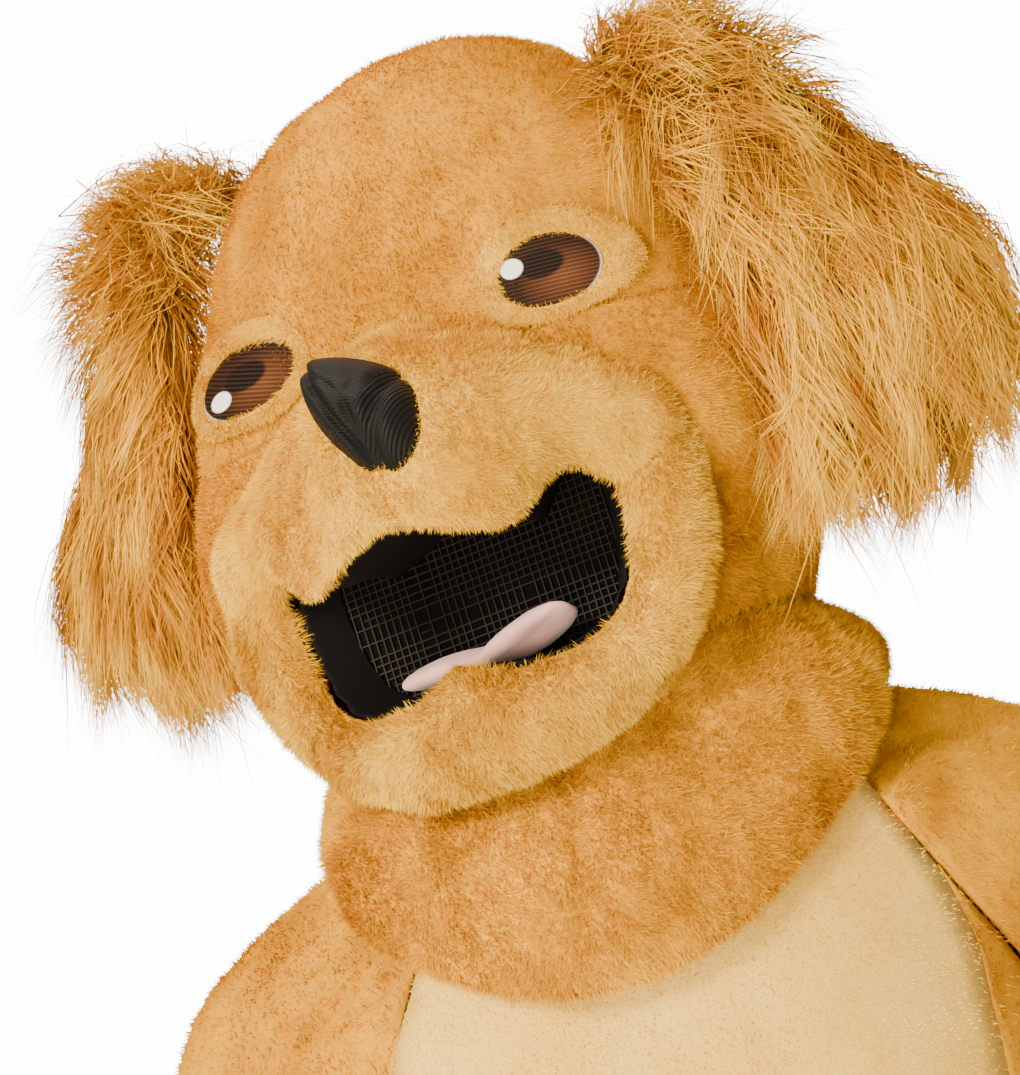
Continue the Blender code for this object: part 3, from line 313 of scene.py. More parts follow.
def longFurMaterial():
    f = longFurFacts
    made, tree, shader = shaderTree("longFur")
    coords = node(tree, "ShaderNodeTexCoord")
    halves = node(tree, "ShaderNodeSeparateXYZ")
    tree.links.new(coords.outputs["UV"], halves.inputs["Vector"])
    # the fur's tones along each strand, with painted shade at the roots
    along = ramp(tree, halves.outputs["Y"], f["upBlade"])
    colour = mix(tree, along, ramp(tree, halves.outputs["X"], f["ownTone"]), 1.0, "MULTIPLY")
    streak = noiseValue(tree, coords.outputs["Object"], f["streakSize"], detail=3.0, stretch=(1.0, 1.0, 0.3))
    colour = mix(tree, colour, ramp(tree, streak, f["streaks"]), f["streakShare"], "MULTIPLY")
    tree.links.new(colour, shader.inputs["Base Color"])
    finish(shader, f["finish"])
    return made


plainFacts = {"patch": 35.0, "darker": 0.7, "bump": (0.35, 0.0004), "specular": 0.12}


def plainCloth(name, colour, roughness, sheen=0.0, weave=1200.0):
    f = plainFacts
    made, tree, shader = shaderTree(name)
    place = node(tree, "ShaderNodeTexCoord").outputs["Object"]
    fine = noiseValue(tree, place, weave)
    wide = noiseValue(tree, place, f["patch"])
    tone = mix(tree, colour, tuple(c * f["darker"] for c in colour), wide)
    tree.links.new(tone, shader.inputs["Base Color"])
    addBump(tree, shader, fine, *f["bump"])
    finish(shader, {"Roughness": roughness, "Specular IOR Level": f["specular"], "Sheen Weight": sheen})
    return made


def outerSamples(cloth, count, rng, outward=None, facing=0.0):
    # places on the outer side of a piece, spread by area, with their smooth normals
    mesh = cloth.data
    mesh.calc_loop_triangles()
    corners = np.empty(len(mesh.loop_triangles) * 3, int)
    mesh.loop_triangles.foreach_get("vertices", corners)
    corners = corners.reshape(-1, 3)
    co, normals = readVerts(mesh), readNormals(mesh)
    a, b, c = co[corners[:, 0]], co[corners[:, 1]], co[corners[:, 2]]
    cross = np.cross(b - a, c - a)
    area = np.linalg.norm(cross, axis=1) / 2
    if outward is not None:
        away = outward((a + b + c) / 3)
        keep = np.sum(unitRows(cross) * away, axis=1) > facing
        area = np.where(keep, area, 0.0)
    chosen = rng.choice(len(corners), size=count, p=area / area.sum())
    u = rng.random((count, 2))
    u = np.where(u.sum(1, keepdims=True) > 1, 1 - u, u)
    w = np.stack((1 - u[:, 0] - u[:, 1], u[:, 0], u[:, 1]), 1)[:, :, None]
    at = (co[corners[chosen]] * w).sum(1)
    n = unitRows((normals[corners[chosen]] * w).sum(1))
    return at, n


bladeTaper = {"share": 0.55, "power": 1.5}


def bladeMesh(name, paths, widths, wideWays, own):
    # paths: blades by points by xyz; each blade is a strip that ends in a point
    # its UVs hold the blade's own tone and the height along it
    count, points = paths.shape[:2]
    taper = np.array([1 - bladeTaper["share"] * (k / (points - 1)) ** bladeTaper["power"] for k in range(points - 1)])
    half = wideWays[:, None, :] * (widths[:, None] * taper[None, :])[:, :, None] / 2
    verts = np.empty((count, 2 * points - 1, 3))
    verts[:, 0:-1:2] = paths[:, :-1] - half
    verts[:, 1:-1:2] = paths[:, :-1] + half
    verts[:, -1] = paths[:, -1]
    quads = points - 2
    loops = []
    for k in range(quads):
        loops += [2 * k, 2 * k + 1, 2 * k + 3, 2 * k + 2]
    loops += [2 * quads, 2 * quads + 1, 2 * quads + 2]
    per = 2 * points - 1
    loopVerts = (np.array(loops)[None, :] + np.arange(count)[:, None] * per).ravel()
    starts = 4 * np.arange(quads + 1)
    loopStarts = (starts[None, :] + np.arange(count)[:, None] * len(loops)).ravel()
    mesh = bpy.data.meshes.new(name)
    mesh.vertices.add(count * per)
    mesh.vertices.foreach_set("co", verts.ravel())
    mesh.loops.add(len(loopVerts))
    mesh.loops.foreach_set("vertex_index", loopVerts.astype(np.int32))
    mesh.polygons.add(len(loopStarts))
    mesh.polygons.foreach_set("loop_start", loopStarts.astype(np.int32))
    heights = np.array([(v // 2) / (points - 1) for v in loops])
    uv = np.empty((count, len(loops), 2))
    uv[:, :, 0] = own[:, None]
    uv[:, :, 1] = heights[None, :]
    layer = mesh.uv_layers.new(name="strand")
    layer.data.foreach_set("uv", uv.ravel())
    mesh.update(calc_edges=True)
    mesh.validate()
    return placed(name, mesh)


# uneven values are given as how strong and how large in millimetres; the root is in metres
pileFacts = {
    "sway": 0.02, "turn": (0.9, 90.0), "smallTurn": (0.5, 28.0), "unevenLean": (0.4, 40.0),
    "lengths": (0.65, 1.15), "unevenLength": (0.12, 14.0), "root": 0.0006, "twist": 0.25, "widths": (0.7, 1.3),
}


def growPile(cloth, outward, key, count, length, seed, width=0.85, lean=0.75, mess=0.35, facing=0.1):
    # short pile: one leaning blade at each place, turned by the nap
    f = pileFacts
    rng = np.random.default_rng(seed)
    at, n = outerSamples(cloth, count, rng, outward, facing)

    def uneven(kind, place):
        strong, size = f[kind]
        return strong * waves(at, size, seed + place)

    down = np.array((0.0, 0.0, -1.0))
    fall = down - n * (n @ down)[:, None]
    fall = unitRows(fall + rng.normal(size=n.shape) * f["sway"])
    side = np.cross(n, fall)
    turn = (uneven("turn", 1) + uneven("smallTurn", 2))[:, None]
    way = fall * np.cos(turn) + side * np.sin(turn)
    lie = lean * (1 + uneven("unevenLean", 3))[:, None]
    blade = unitRows(n + way * lie + rng.normal(size=n.shape) * mess)
    long = (length * rng.uniform(*f["lengths"], count) * (1 + uneven("unevenLength", 4)) * mm)[:, None]
    root = at - n * f["root"]
    paths = np.stack((root, root + blade * long), 1)
    across = unitRows(np.cross(n, blade) + rng.normal(size=n.shape) * f["twist"])
    widths = width * rng.uniform(*f["widths"], count) * mm
    piece = bladeMesh(cloth.name + "Pile", paths, widths, across, rng.random(count))
    piece.data.materials.append(strandMaterials[key])
    return piece


# the head's plush; a low facing gives pile also to cloth that turns inwards
headPieces = {
    "crown": {"key": "golden", "blades": 90000, "length": 5.0, "bumps": 1.0, "seed": 11},
    "cheek_left": {"key": "golden", "blades": 45000, "length": 5.0, "bumps": 1.0, "seed": 21},
    "cheek_right": {"key": "golden", "blades": 45000, "length": 5.0, "bumps": 1.0, "seed": 31},
    "throat": {"key": "golden", "blades": 18000, "length": 6.0, "bumps": 0.8, "seed": 41},
    "muzzle": {"key": "pale", "blades": 58000, "length": 5.5, "bumps": 0.8, "seed": 51, "facing": -0.55,
               "sewn": [((-102, 178), (-95, 158), (-86, 138), 4.5, -3.0)]},
    "jaw_left": {"key": "pale", "blades": 30000, "length": 7.0, "bumps": 0.8, "seed": 61, "facing": -0.55,
                 "sewn": [((-72, 36), (-66, 16), (-52, -13), 4.0, -2.5)]},
    "jaw_right": {"key": "pale", "blades": 30000, "length": 7.0, "bumps": 0.8, "seed": 71, "facing": -0.55},
    "eye_patch_left": {"key": "pale", "blades": 9000, "length": 3.8, "bumps": 0.0, "seed": 81, "facing": -0.3},
    "eye_patch_right": {"key": "pale", "blades": 9000, "length": 3.8, "bumps": 0.0, "seed": 91, "facing": -0.3},
}


def camel(name, last=""):
    first, *rest = name.split("_")
    return first + "".join(word.capitalize() for word in rest) + last


# the head's right side is stuffed a little fuller than its left, and its top is higher on the left
fullerSide = {"push": 8.0, "starts": 65.0, "ends": 135.0, "low": -215.0, "high": 70.0, "fades": 60.0,
              "lean": 0.13, "leanFrom": 25.0, "leanOver": 90.0, "leanWide": 95.0}


def fuller(co):
    local = toHead(co) / mm
    f = fullerSide
    across = np.clip((-local[:, 0] - f["starts"]) / (f["ends"] - f["starts"]), 0, 1)
    inside = np.minimum(local[:, 2] - f["low"], f["high"] - local[:, 2]) / f["fades"]
    share = across * across * (3 - 2 * across) * np.clip(inside, 0, 1)
    local[:, 0] -= f["push"] * share
    high = np.clip((local[:, 2] - f["leanFrom"]) / f["leanOver"], 0, 1)
    local[:, 2] += f["lean"] * high * np.clip(local[:, 0], -f["leanWide"], f["leanWide"])
    return fromHead(local * mm)


foldShape = {"backLower": 17.0, "lip": 0.35, "lipAt": 1.9}


def foldPush(co, folds):
    # each fold follows a bent line as seen from the front, with a lip on both sides; the back's folds are lower
    f = foldShape
    total = np.zeros(len(co))
    for first, second, third, wide, deep in folds:
        flat = co[:, (0, 2)] / mm
        flat = flat + np.stack((np.zeros(len(co)), np.where(co[:, 1] > 0.0, f["backLower"], 0.0)), 1)
        line = [np.array(first, float), np.array(second, float), np.array(third, float)]
        far = np.full(len(co), 1e9)
        for a, b in zip(line[:-1], line[1:]):
            along = b - a
            t = np.clip(((flat - a) @ along) / (along @ along), 0, 1)
            far = np.minimum(far, np.linalg.norm(flat - a - t[:, None] * along, axis=1))
        lip = f["lip"] * deep * np.exp(-((far - f["lipAt"] * wide) / wide) ** 2)
        total += deep * np.exp(-(far / wide) ** 2) - lip
    return total * mm


# the stuffing's unevenness: how deep and how large, in millimetres, and its seed
headBumps = ((1.6, 120.0, 11), (0.7, 45.0, 16))
bodyBumps = ((2.0, 170.0, 111), (0.8, 60.0, 116))


def bumps(co, layers):
    return sum(deep * waves(co, size, seed) for deep, size, seed in layers)


def makeHeadPiece(nodeName, facts):
    piece = softCopy(nodeName, camel(nodeName, "Plush"), hem=0.85)
    co = fuller(readVerts(piece.data))
    away = fromCore(co)
    push = facts["bumps"] * bumps(co, headBumps) * mm
    for line in facts.get("sewn", []):
        push = push + np.where(co[:, 1] < 0.0, foldPush(co, [line]), 0.0)
    writeVerts(piece.data, co + away * push[:, None])
    piece.data.materials.append(clothMaterials[facts["key"]])
    pile = growPile(piece, fromCore, facts["key"], facts["blades"], facts["length"], facts["seed"],
                    facing=facts.get("facing", 0.1))
    ride(piece, [nodeName])
    ride(pile, [])


for pieceName, pieceFacts in headPieces.items():
    makeHeadPiece(pieceName, pieceFacts)
say("head plush done")


# the jumpsuit, with the centre lines of an arm and a leg

armLine = [(242, 2, -134), (258, 0, -163), (266, -4, -216), (272, -8, -290), (283, -14, -392),
           (292, -24, -500), (300, -36, -590), (304, -44, -655)]
legLine = [(108, 2, -640), (112, 2, -850), (117, 0, -960), (121, -4, -1060), (125, 0, -1180), (132, 0, -1400)]


def sided(line, side):
    return [(10 + side * x, y, z) for x, y, z in line]


bodyPieces = {
    "belly": {"key": "cream", "outward": fromAxis(10), "blades": 40000, "length": 3.2, "seed": 111,
              "flat": (0.34, 0.6), "area": 0.186},
    "torso_left": {"key": "golden", "outward": fromAxis(10), "blades": 18000, "length": 5.0, "seed": 121,
                   "flat": (0.42, 0.58), "area": 0.186},
    "torso_right": {"key": "golden", "outward": fromAxis(10), "blades": 18000, "length": 5.0, "seed": 131,
                    "flat": (0.42, 0.58), "area": 0.177},
    "sleeve_left": {"key": "golden", "outward": fromLine([(60, 0, -60)] + sided(armLine, 1)),
                    "blades": 42000, "length": 5.0, "seed": 141, "flat": (0.42, 0.72), "area": 0.254},
    "sleeve_right": {"key": "golden", "outward": fromLine([(-40, 0, -80)] + sided(armLine, -1)),
                     "blades": 42000, "length": 5.0, "seed": 151, "flat": (0.42, 0.7), "area": 0.241},
    "leg_left": {"key": "golden", "outward": fromLine(sided(legLine, 1)),
                 "blades": 14000, "length": 6.0, "seed": 161, "flat": (0.6, 0.84), "area": 0.468},
    "leg_right": {"key": "golden", "outward": fromLine(sided(legLine, -1)),
                  "blades": 14000, "length": 6.0, "seed": 171, "flat": (0.6, 0.84), "area": 0.468},
}

# soft folds in the cloth: three places on each fold, as seen from the front, then how wide and how deep
foldTable = {
    "sleeve_left": [
        ((125, -54), (159, -30), (196, -28), 9, -9), ((150, -62), (185, -50), (222, -60), 14, 5),
        ((330, -230), (290, -262), (240, -270), 15, -8), ((335, -300), (300, -330), (262, -322), 14, -6),
        ((345, -395), (305, -420), (262, -412), 16, -8), ((350, -450), (312, -470), (270, -480), 15, -7),
        ((350, -560), (320, -580), (280, -570), 13, -6)],
    "sleeve_right": [
        ((-120, -106), (-164, -113), (-204, -124), 9, -9), ((-110, -88), (-160, -92), (-210, -96), 13, 5),
        ((-310, -240), (-270, -268), (-222, -262), 15, -8), ((-318, -310), (-280, -330), (-240, -336), 14, -6),
        ((-326, -400), (-290, -412), (-240, -430), 16, -8), ((-330, -470), (-290, -488), (-250, -476), 14, -6),
        ((-330, -565), (-300, -590), (-262, -588), 13, -6)],
    "torso_left": [
        ((130, -250), (180, -300), (222, -310), 16, -7), ((120, -400), (170, -430), (215, -420), 18, -7),
        ((90, -500), (150, -520), (215, -505), 15, -6)],
    "torso_right": [
        ((-110, -240), (-160, -290), (-200, -318), 16, -7), ((-100, -390), (-150, -425), (-195, -430), 18, -7),
        ((-70, -505), (-130, -520), (-195, -498), 15, -6)],
    "belly": [
        ((-90, -420), (10, -445), (110, -425), 22, -5), ((-80, -510), (10, -522), (100, -512), 18, -5)],
    "leg_left": [
        ((20, -700), (90, -735), (190, -700), 20, -8), ((60, -1000), (120, -1030), (205, -1010), 17, -8),
        ((60, -1060), (130, -1080), (205, -1090), 15, -7), ((60, -1290), (130, -1312), (205, -1296), 14, -9),
        ((60, -1345), (130, -1356), (205, -1340), 11, -7)],
    "leg_right": [
        ((0, -700), (-70, -730), (-170, -705), 20, -8), ((-40, -1005), (-100, -1026), (-185, -1015), 17, -8),
        ((-40, -1070), (-110, -1082), (-185, -1080), 15, -7), ((-40, -1285), (-110, -1310), (-185, -1300), 14, -9),
        ((-40, -1340), (-110, -1358), (-185, -1348), 11, -7)],
}
thickPile = {"over": 30000, "fine": 1.1, "coarse": 1.7}    # a piece with many blades has finer ones


def makeBodyPiece(nodeName, facts):
    piece = softCopy(nodeName, camel(nodeName, "Cloth"), 1, hem=1.0)
    co = readVerts(piece.data)
    away = facts["outward"](co)
    push = bumps(co, bodyBumps) * mm + foldPush(co, foldTable[nodeName])
    writeVerts(piece.data, co + away * push[:, None])
    piece.data.materials.append(clothMaterials[facts["key"]])
    width = thickPile["fine"] if facts["blades"] > thickPile["over"] else thickPile["coarse"]
    pile = growPile(piece, facts["outward"], facts["key"], facts["blades"], facts["length"], facts["seed"],
                    width=width)
    ride(piece, [nodeName])
    ride(pile, [])


for pieceName, pieceFacts in bodyPieces.items():
    makeBodyPiece(pieceName, pieceFacts)


# the bib; each seam is its angle round the neck, how wide and how deep
bibFacts = {
    "blades": 95000, "length": 7.0, "seed": 101, "lean": 0.6, "mess": 0.42, "bumps": ((2.0, 110.0, 5),),
    "seams": [(-38, 2.5, 2.5), (-31, 2.0, 1.5), (40, 2.5, 2.0), (150, 2.5, 2.0)], "centre": (0.0, 0.0, -0.02),
}


def makeBib():
    f = bibFacts
    piece = softCopy("bib", "bibPlush", hem=0.4)
    co = readVerts(piece.data)
    angle = np.arctan2(co[:, 0], -co[:, 1]) / math.radians(1)
    push = bumps(co, f["bumps"])
    for seamAngle, wide, deep in f["seams"]:
        push -= deep * np.exp(-((angle - seamAngle) / wide) ** 2)
    writeVerts(piece.data, co + fromAxis(0)(co) * (push * mm)[:, None])
    piece.data.materials.append(clothMaterials["collar"])
    centre = np.array(f["centre"])
    pile = growPile(piece, lambda co: unitRows(co - centre), "collar", f["blades"], f["length"], f["seed"],
                    lean=f["lean"], mess=f["mess"])
    ride(piece, ["bib"])
    ride(pile, [])


makeBib()
say("bib and jumpsuit done")


# the long-haired ears

earFacts = {
    "strands": 19000, "length": (34.0, 74.0), "width": 1.05, "widths": (0.5, 1.3), "steps": 4,
    "locks": 600, "gather": 0.62, "loose": 0.16, "looseGather": 0.12, "droop": 0.40, "inwards": 0.2,
    "wisps": 0.06, "wispLonger": 0.35, "topLonger": 0.25, "curl": (0.26, 20.0), "curlTurn": 4.5, "jitter": 0.0014,
    "spread": (0.30, 60.0), "smallSpread": (0.18, 24.0), "topWay": (0.25, -0.15, 0.75),
    "topFrom": 0.72, "topOver": 0.05, "flowFall": 0.3, "flowLie": 0.8, "topFlow": 0.75, "lift": (0.50, 0.30),
    "flow": [(140, 2, 126), (195, -6, 61), (227, -9, 8), (247, -11, -42), (245, -12, -91), (232, -13, -137),
             (215, -13, -190)],
    # the flap under the fur: how deep it sinks and how far its hem is lifted
    "sink": 6.0, "hemLift": 62.0, "hemBand": 110.0,
    # the right ear's top is drawn up and out, the rest of it in to the head, and its flap is shorter
    "rightTop": 26.0, "rightHem": 6.0, "rightNear": 9.0, "rightIn": 26.0, "rightInFrom": 0.36, "rightInOver": 0.12,
    "rightOutside": 0.09,
    # the fur is brushed flat beyond these places: the place, and the share it keeps
    "flatBack": (182.0, 0.3), "flatOut": (-352.0, 0.4),
}
furMaterial = longFurMaterial()


def makeEar(nodeName, side, seed):
    rng = np.random.default_rng(seed)
    f = earFacts
    flap = softCopy(nodeName, camel(nodeName, "Flap"), 1)
    co = readVerts(flap.data) - readNormals(flap.data) * f["sink"] * mm
    lowest = co[:, 2].min()
    below = np.clip((lowest + f["hemBand"] * mm - co[:, 2]) / (f["hemBand"] * mm), 0, 1)
    co[:, 2] += below * (f["hemLift"] + (f["rightHem"] if side < 0 else 0)) * mm
    if side < 0:
        upper = np.clip((co[:, 2] - lowest) / (co[:, 2].max() - lowest) * 1.6 - 0.5, 0, 1)
        outside = np.clip((co[:, 0].max() - co[:, 0]) / f["rightOutside"], 0, 1)
        co[:, 0] -= upper * outside * f["rightTop"] * mm
        co[:, 2] += upper * upper * f["rightTop"] * mm
        lower = np.clip((f["rightInFrom"] - co[:, 2]) / f["rightInOver"], 0, 1)
        co[:, 0] += (f["rightNear"] + f["rightIn"] * lower) * mm
    writeVerts(flap.data, co)
    flap.data.materials.append(clothMaterials["golden"])
    at, n = outerSamples(flap, f["strands"], rng)

    def uneven(kind, place):
        strong, size = f[kind]
        return strong * waves(at, size, seed + place)

    # each strand starts along the ear's flow, and on top of the ear it stands up
    line = fromHead(np.array([(side * x, y, z) for x, y, z in f["flow"]]) * mm)
    ways = unitRows(np.diff(line, axis=0))
    middles = (line[1:] + line[:-1]) / 2
    near = np.argmin(np.linalg.norm(at[:, None] - middles[None], axis=2), axis=1)
    flow = ways[near] + np.array((0, 0, -f["flowFall"]))
    flow = unitRows(flow - n * (np.sum(flow * n, axis=1, keepdims=True)) * f["flowLie"])
    top = np.clip((at[:, 2] - np.quantile(at[:, 2], f["topFrom"])) / f["topOver"], 0, 1)[:, None]
    spread = (uneven("spread", 1) + uneven("smallSpread", 2))[:, None] * np.cross(n, flow)
    topX, topY, topZ = f["topWay"]
    lift, topLift = f["lift"]
    start = flow * (1 - f["topFlow"] * top) + n * (lift + topLift * top) + np.array((topX * side, topY, topZ)) * top
    start = unitRows(start + spread + rng.normal(size=n.shape) * (0.12 + 0.13 * top))
    low, high = f["length"]
    long = rng.uniform(low, high, len(at)) * (1 + f["wispLonger"] * (rng.random(len(at)) < f["wisps"]))
    long = (long * (1 + f["topLonger"] * top[:, 0]))[:, None] * mm
    steps = f["steps"]
    paths = np.empty((len(at), steps, 3))
    curl = unitRows(np.cross(start, n)) * uneven("curl", 3)[:, None]
    for k in range(steps):
        t = k / (steps - 1)
        fall = np.array((0, 0, -1.0)) * f["droop"] * t * t - n * f["inwards"] * t * t
        paths[:, k] = at + long * (start * t + fall + curl * math.sin(f["curlTurn"] * t))
    # strands are gathered into locks, apart from the loose ones
    heads = rng.choice(len(at), f["locks"], replace=False)
    tree = kdtree.KDTree(len(heads))
    for i, h in enumerate(heads):
        tree.insert(at[h], i)
    tree.balance()
    lock = np.array([heads[tree.find(p)[1]] for p in at])
    loose = rng.random(len(at)) < f["loose"]
    for k in range(1, steps):
        t = k / (steps - 1)
        share = np.where(loose, f["looseGather"], f["gather"])[:, None] * t ** 1.2
        paths[:, k] += (paths[lock, k] - paths[:, k]) * share
    paths[:, 1:] += rng.normal(size=(len(at), steps - 1, 3)) * f["jitter"]
    back, backKeeps = f["flatBack"][0] * mm, f["flatBack"][1]
    out, outKeeps = f["flatOut"][0] * mm, f["flatOut"][1]
    x, y = paths[:, :, 0].copy(), paths[:, :, 1].copy()
    paths[:, :, 1] = np.where(y > back, back + (y - back) * backKeeps, y)
    paths[:, :, 0] = np.where(x < out, out + (x - out) * outKeeps, x)
    across = unitRows(np.cross(n, start) + rng.normal(size=n.shape) * 0.3)
    lockTone = rng.random(len(at))
    own = np.clip(0.5 * lockTone[lock] + 0.5 * rng.random(len(at)), 0, 1)
    fur = bladeMesh(camel(nodeName, "Fur"), paths, f["width"] * rng.uniform(*f["widths"], len(at)) * mm, across, own)
    fur.data.materials.append(furMaterial)
    ride(flap, [nodeName])
    ride(fur, [])


for earName, earSide, earSeed in (("ear_left", 1, 201), ("ear_right", -1, 211)):
    makeEar(earName, earSide, earSeed)
say("ears done")


# the mouth: lining, net and tongue

mouthFacts = {
    "net": {"cell": 4.5, "thread": 0.75, "flat": 0.7, "ahead": 1.4, "acrossOf": 0.35, "colour": (0.022, 0.016, 0.011),
            "shadeBacking": (0.002, 0.0015, 0.001), "edge": 0.6, "shortest": 4.0, "frontDeep": 0.4, "reach": 3.2},
    "lining": {"colour": (0.006, 0.005, 0.005), "folds": 1.0, "foldSize": 0.42, "foldSlant": 0.03, "foldRise": 0.3,
               "sideFrom": 55.0, "sideOver": 30.0, "lowFrom": -140.0, "lowOver": 40.0},
    "tongue": {"colour": (0.86, 0.47, 0.40), "plump": 1.2, "lower": 3.0, "leftLower": 7.0, "frontDeep": 12.0,
               "dip": 3.0, "dipAt": 0.46, "dipWide": 0.08, "leftCurl": 5.0, "leftCurlFrom": 0.5,
               "leftCurlOver": 0.3, "rightCurl": 3.0, "rightCurlTo": 0.4},
}


def makeLining():
    f = mouthFacts["lining"]
    piece = softCopy("mouth_lining", "mouthLining", hem=0.8)
    co = fuller(readVerts(piece.data))
    local = toHead(co) / mm
    side = np.clip((np.abs(local[:, 0]) - f["sideFrom"]) / f["sideOver"], 0, 1)
    low = np.clip((f["lowFrom"] - local[:, 2]) / f["lowOver"], 0, 1)
    ripple = np.sin(local[:, 2] * f["foldSize"] + f["foldSlant"] * local[:, 0]) * f["folds"]
    inwards = np.stack((-np.sign(local[:, 0]), np.zeros(len(co)), np.full(len(co), f["foldRise"])), 1)
    local = local + inwards * (ripple * side * low)[:, None]
    writeVerts(piece.data, fromHead(local * mm))
    piece.data.materials.append(plainCloth("blackLining", f["colour"], 0.85))
    ride(piece, ["mouth_lining"])


def makeNet():
    f = mouthFacts["net"]
    # painted shade: a near-black sheet behind the net stands for the dark inside of the head, seen through the net
    shadeBacking = softCopy("mouth_screen", "mouthShadeSheet", 1, hem=1.0)
    co = readVerts(shadeBacking.data)
    local = toHead(co) / mm
    writeVerts(shadeBacking.data, fuller(co))
    shadeBacking.data.materials.append(plainCloth("netShadeSheet", f["shadeBacking"], 0.9))
    ride(shadeBacking, ["mouth_screen"])
    front = local[:, 1].min()
    outline = local[local[:, 1] < front + f["frontDeep"]]
    bm = bmesh.new()
    # threads across, then up, each one as long as the mouth is there
    for up in (False, True):
        first, second = (0, 2) if up else (2, 0)
        low, high = outline[:, first].min(), outline[:, first].max()
        place = low + f["cell"] * 0.5
        while place < high:
            near = outline[np.abs(outline[:, first] - place) < f["reach"]]
            if len(near) > 1:
                start, end = near[:, second].min() + f["edge"], near[:, second].max() - f["edge"]
                if end - start > f["shortest"]:
                    made = bmesh.ops.create_cube(bm, size=1.0)["verts"]
                    size = Vector((0, f["thread"] * f["flat"], 0))
                    size[first], size[second] = f["thread"], end - start
                    at = Vector((0, front - f["ahead"] - (f["acrossOf"] if up else 0), 0))
                    at[first], at[second] = place, (start + end) / 2
                    bmesh.ops.scale(bm, verts=made, vec=size)
                    bmesh.ops.translate(bm, verts=made, vec=at)
            place += f["cell"]
    mesh = bpy.data.meshes.new("mouthNet")
    bm.to_mesh(mesh)
    bm.free()
    writeVerts(mesh, fuller(fromHead(readVerts(mesh) * mm)))
    mesh.materials.append(plainCloth("netThread", f["colour"], 0.42))
    net = placed("mouthNet", mesh)
    ride(net, [])


def makeTongue():
    f = mouthFacts["tongue"]
    piece = softCopy("tongue", "tonguePad")
    co = readVerts(piece.data) + readNormals(piece.data) * f["plump"] * mm
    local = toHead(co) / mm
    along = (local[:, 0] - local[:, 0].min()) / np.ptp(local[:, 0])
    front = np.clip((local[:, 1].mean() - local[:, 1]) / f["frontDeep"], 0, 1)
    dip = f["dip"] * front * np.exp(-((along - f["dipAt"]) / f["dipWide"]) ** 2)
    local[:, 2] -= f["lower"] + f["leftLower"] * along + dip
    leftCurl = f["leftCurl"] * np.clip((along - f["leftCurlFrom"]) / f["leftCurlOver"], 0, 1)
    local[:, 2] += front * (leftCurl - f["rightCurl"] * (along < f["rightCurlTo"]))
    writeVerts(piece.data, fromHead(local * mm))
    piece.data.materials.append(plainCloth("pinkFleece", f["colour"], 0.85, sheen=0.4, weave=1500.0))
    ride(piece, ["tongue"])


makeLining()
makeNet()
makeTongue()
say("mouth done")


# the nose: three facets of ribbed cloth, pleated towards the point at the bottom

noseFacts = {
    "middle": -46.0, "point": -27.0, "spread": 33.0, "rib": 1.3, "ribTurn": 8.0, "ribBend": 0.02,
    "pleatDeep": 4.2, "pleatWide": 2.6, "puff": 1.8, "puffAt": 6.5, "puffWide": 5.0,
    "fadeIn": 8.0, "fadeOut": (62.0, 14.0), "back": (4.0, 6.0),
    # how the whole nose is drawn askew on the face, across and up, and then moved back into its place
    "skew": ((1.046, -0.269), (-0.564, 1.497)), "shift": (68.2, -160.0),
    # ribs: painted shade in each rib's groove and painted light on its ridge
    "ribs": [(0.2, (0.003, 0.003, 0.003)), (0.9, (0.007, 0.006, 0.005))], "bump": (0.7, 0.0003),
    "finish": {"Roughness": 0.6, "Specular IOR Level": 0.16},
}


def noseMaterial():
    # ribs along the UV's first number, one to each whole number
    f = noseFacts
    made, tree, shader = shaderTree("ribbedCloth")
    coords = node(tree, "ShaderNodeTexCoord")
    halves = node(tree, "ShaderNodeSeparateXYZ")
    tree.links.new(coords.outputs["UV"], halves.inputs["Vector"])
    turn = node(tree, "ShaderNodeMath", operation="MULTIPLY")
    tree.links.new(halves.outputs["X"], turn.inputs[0])
    turn.inputs[1].default_value = 2 * math.pi
    wave = node(tree, "ShaderNodeMath", operation="SINE")
    tree.links.new(turn.outputs[0], wave.inputs[0])
    addBump(tree, shader, wave.outputs[0], *f["bump"])
    up = node(tree, "ShaderNodeMapRange")
    up.inputs["From Min"].default_value = -1.0
    tree.links.new(wave.outputs[0], up.inputs["Value"])
    # painted light and shade: the ribs are lighter on their ridges and darker in their grooves
    tree.links.new(ramp(tree, up.outputs["Result"], f["ribs"]), shader.inputs["Base Color"])
    finish(shader, f["finish"])
    return made


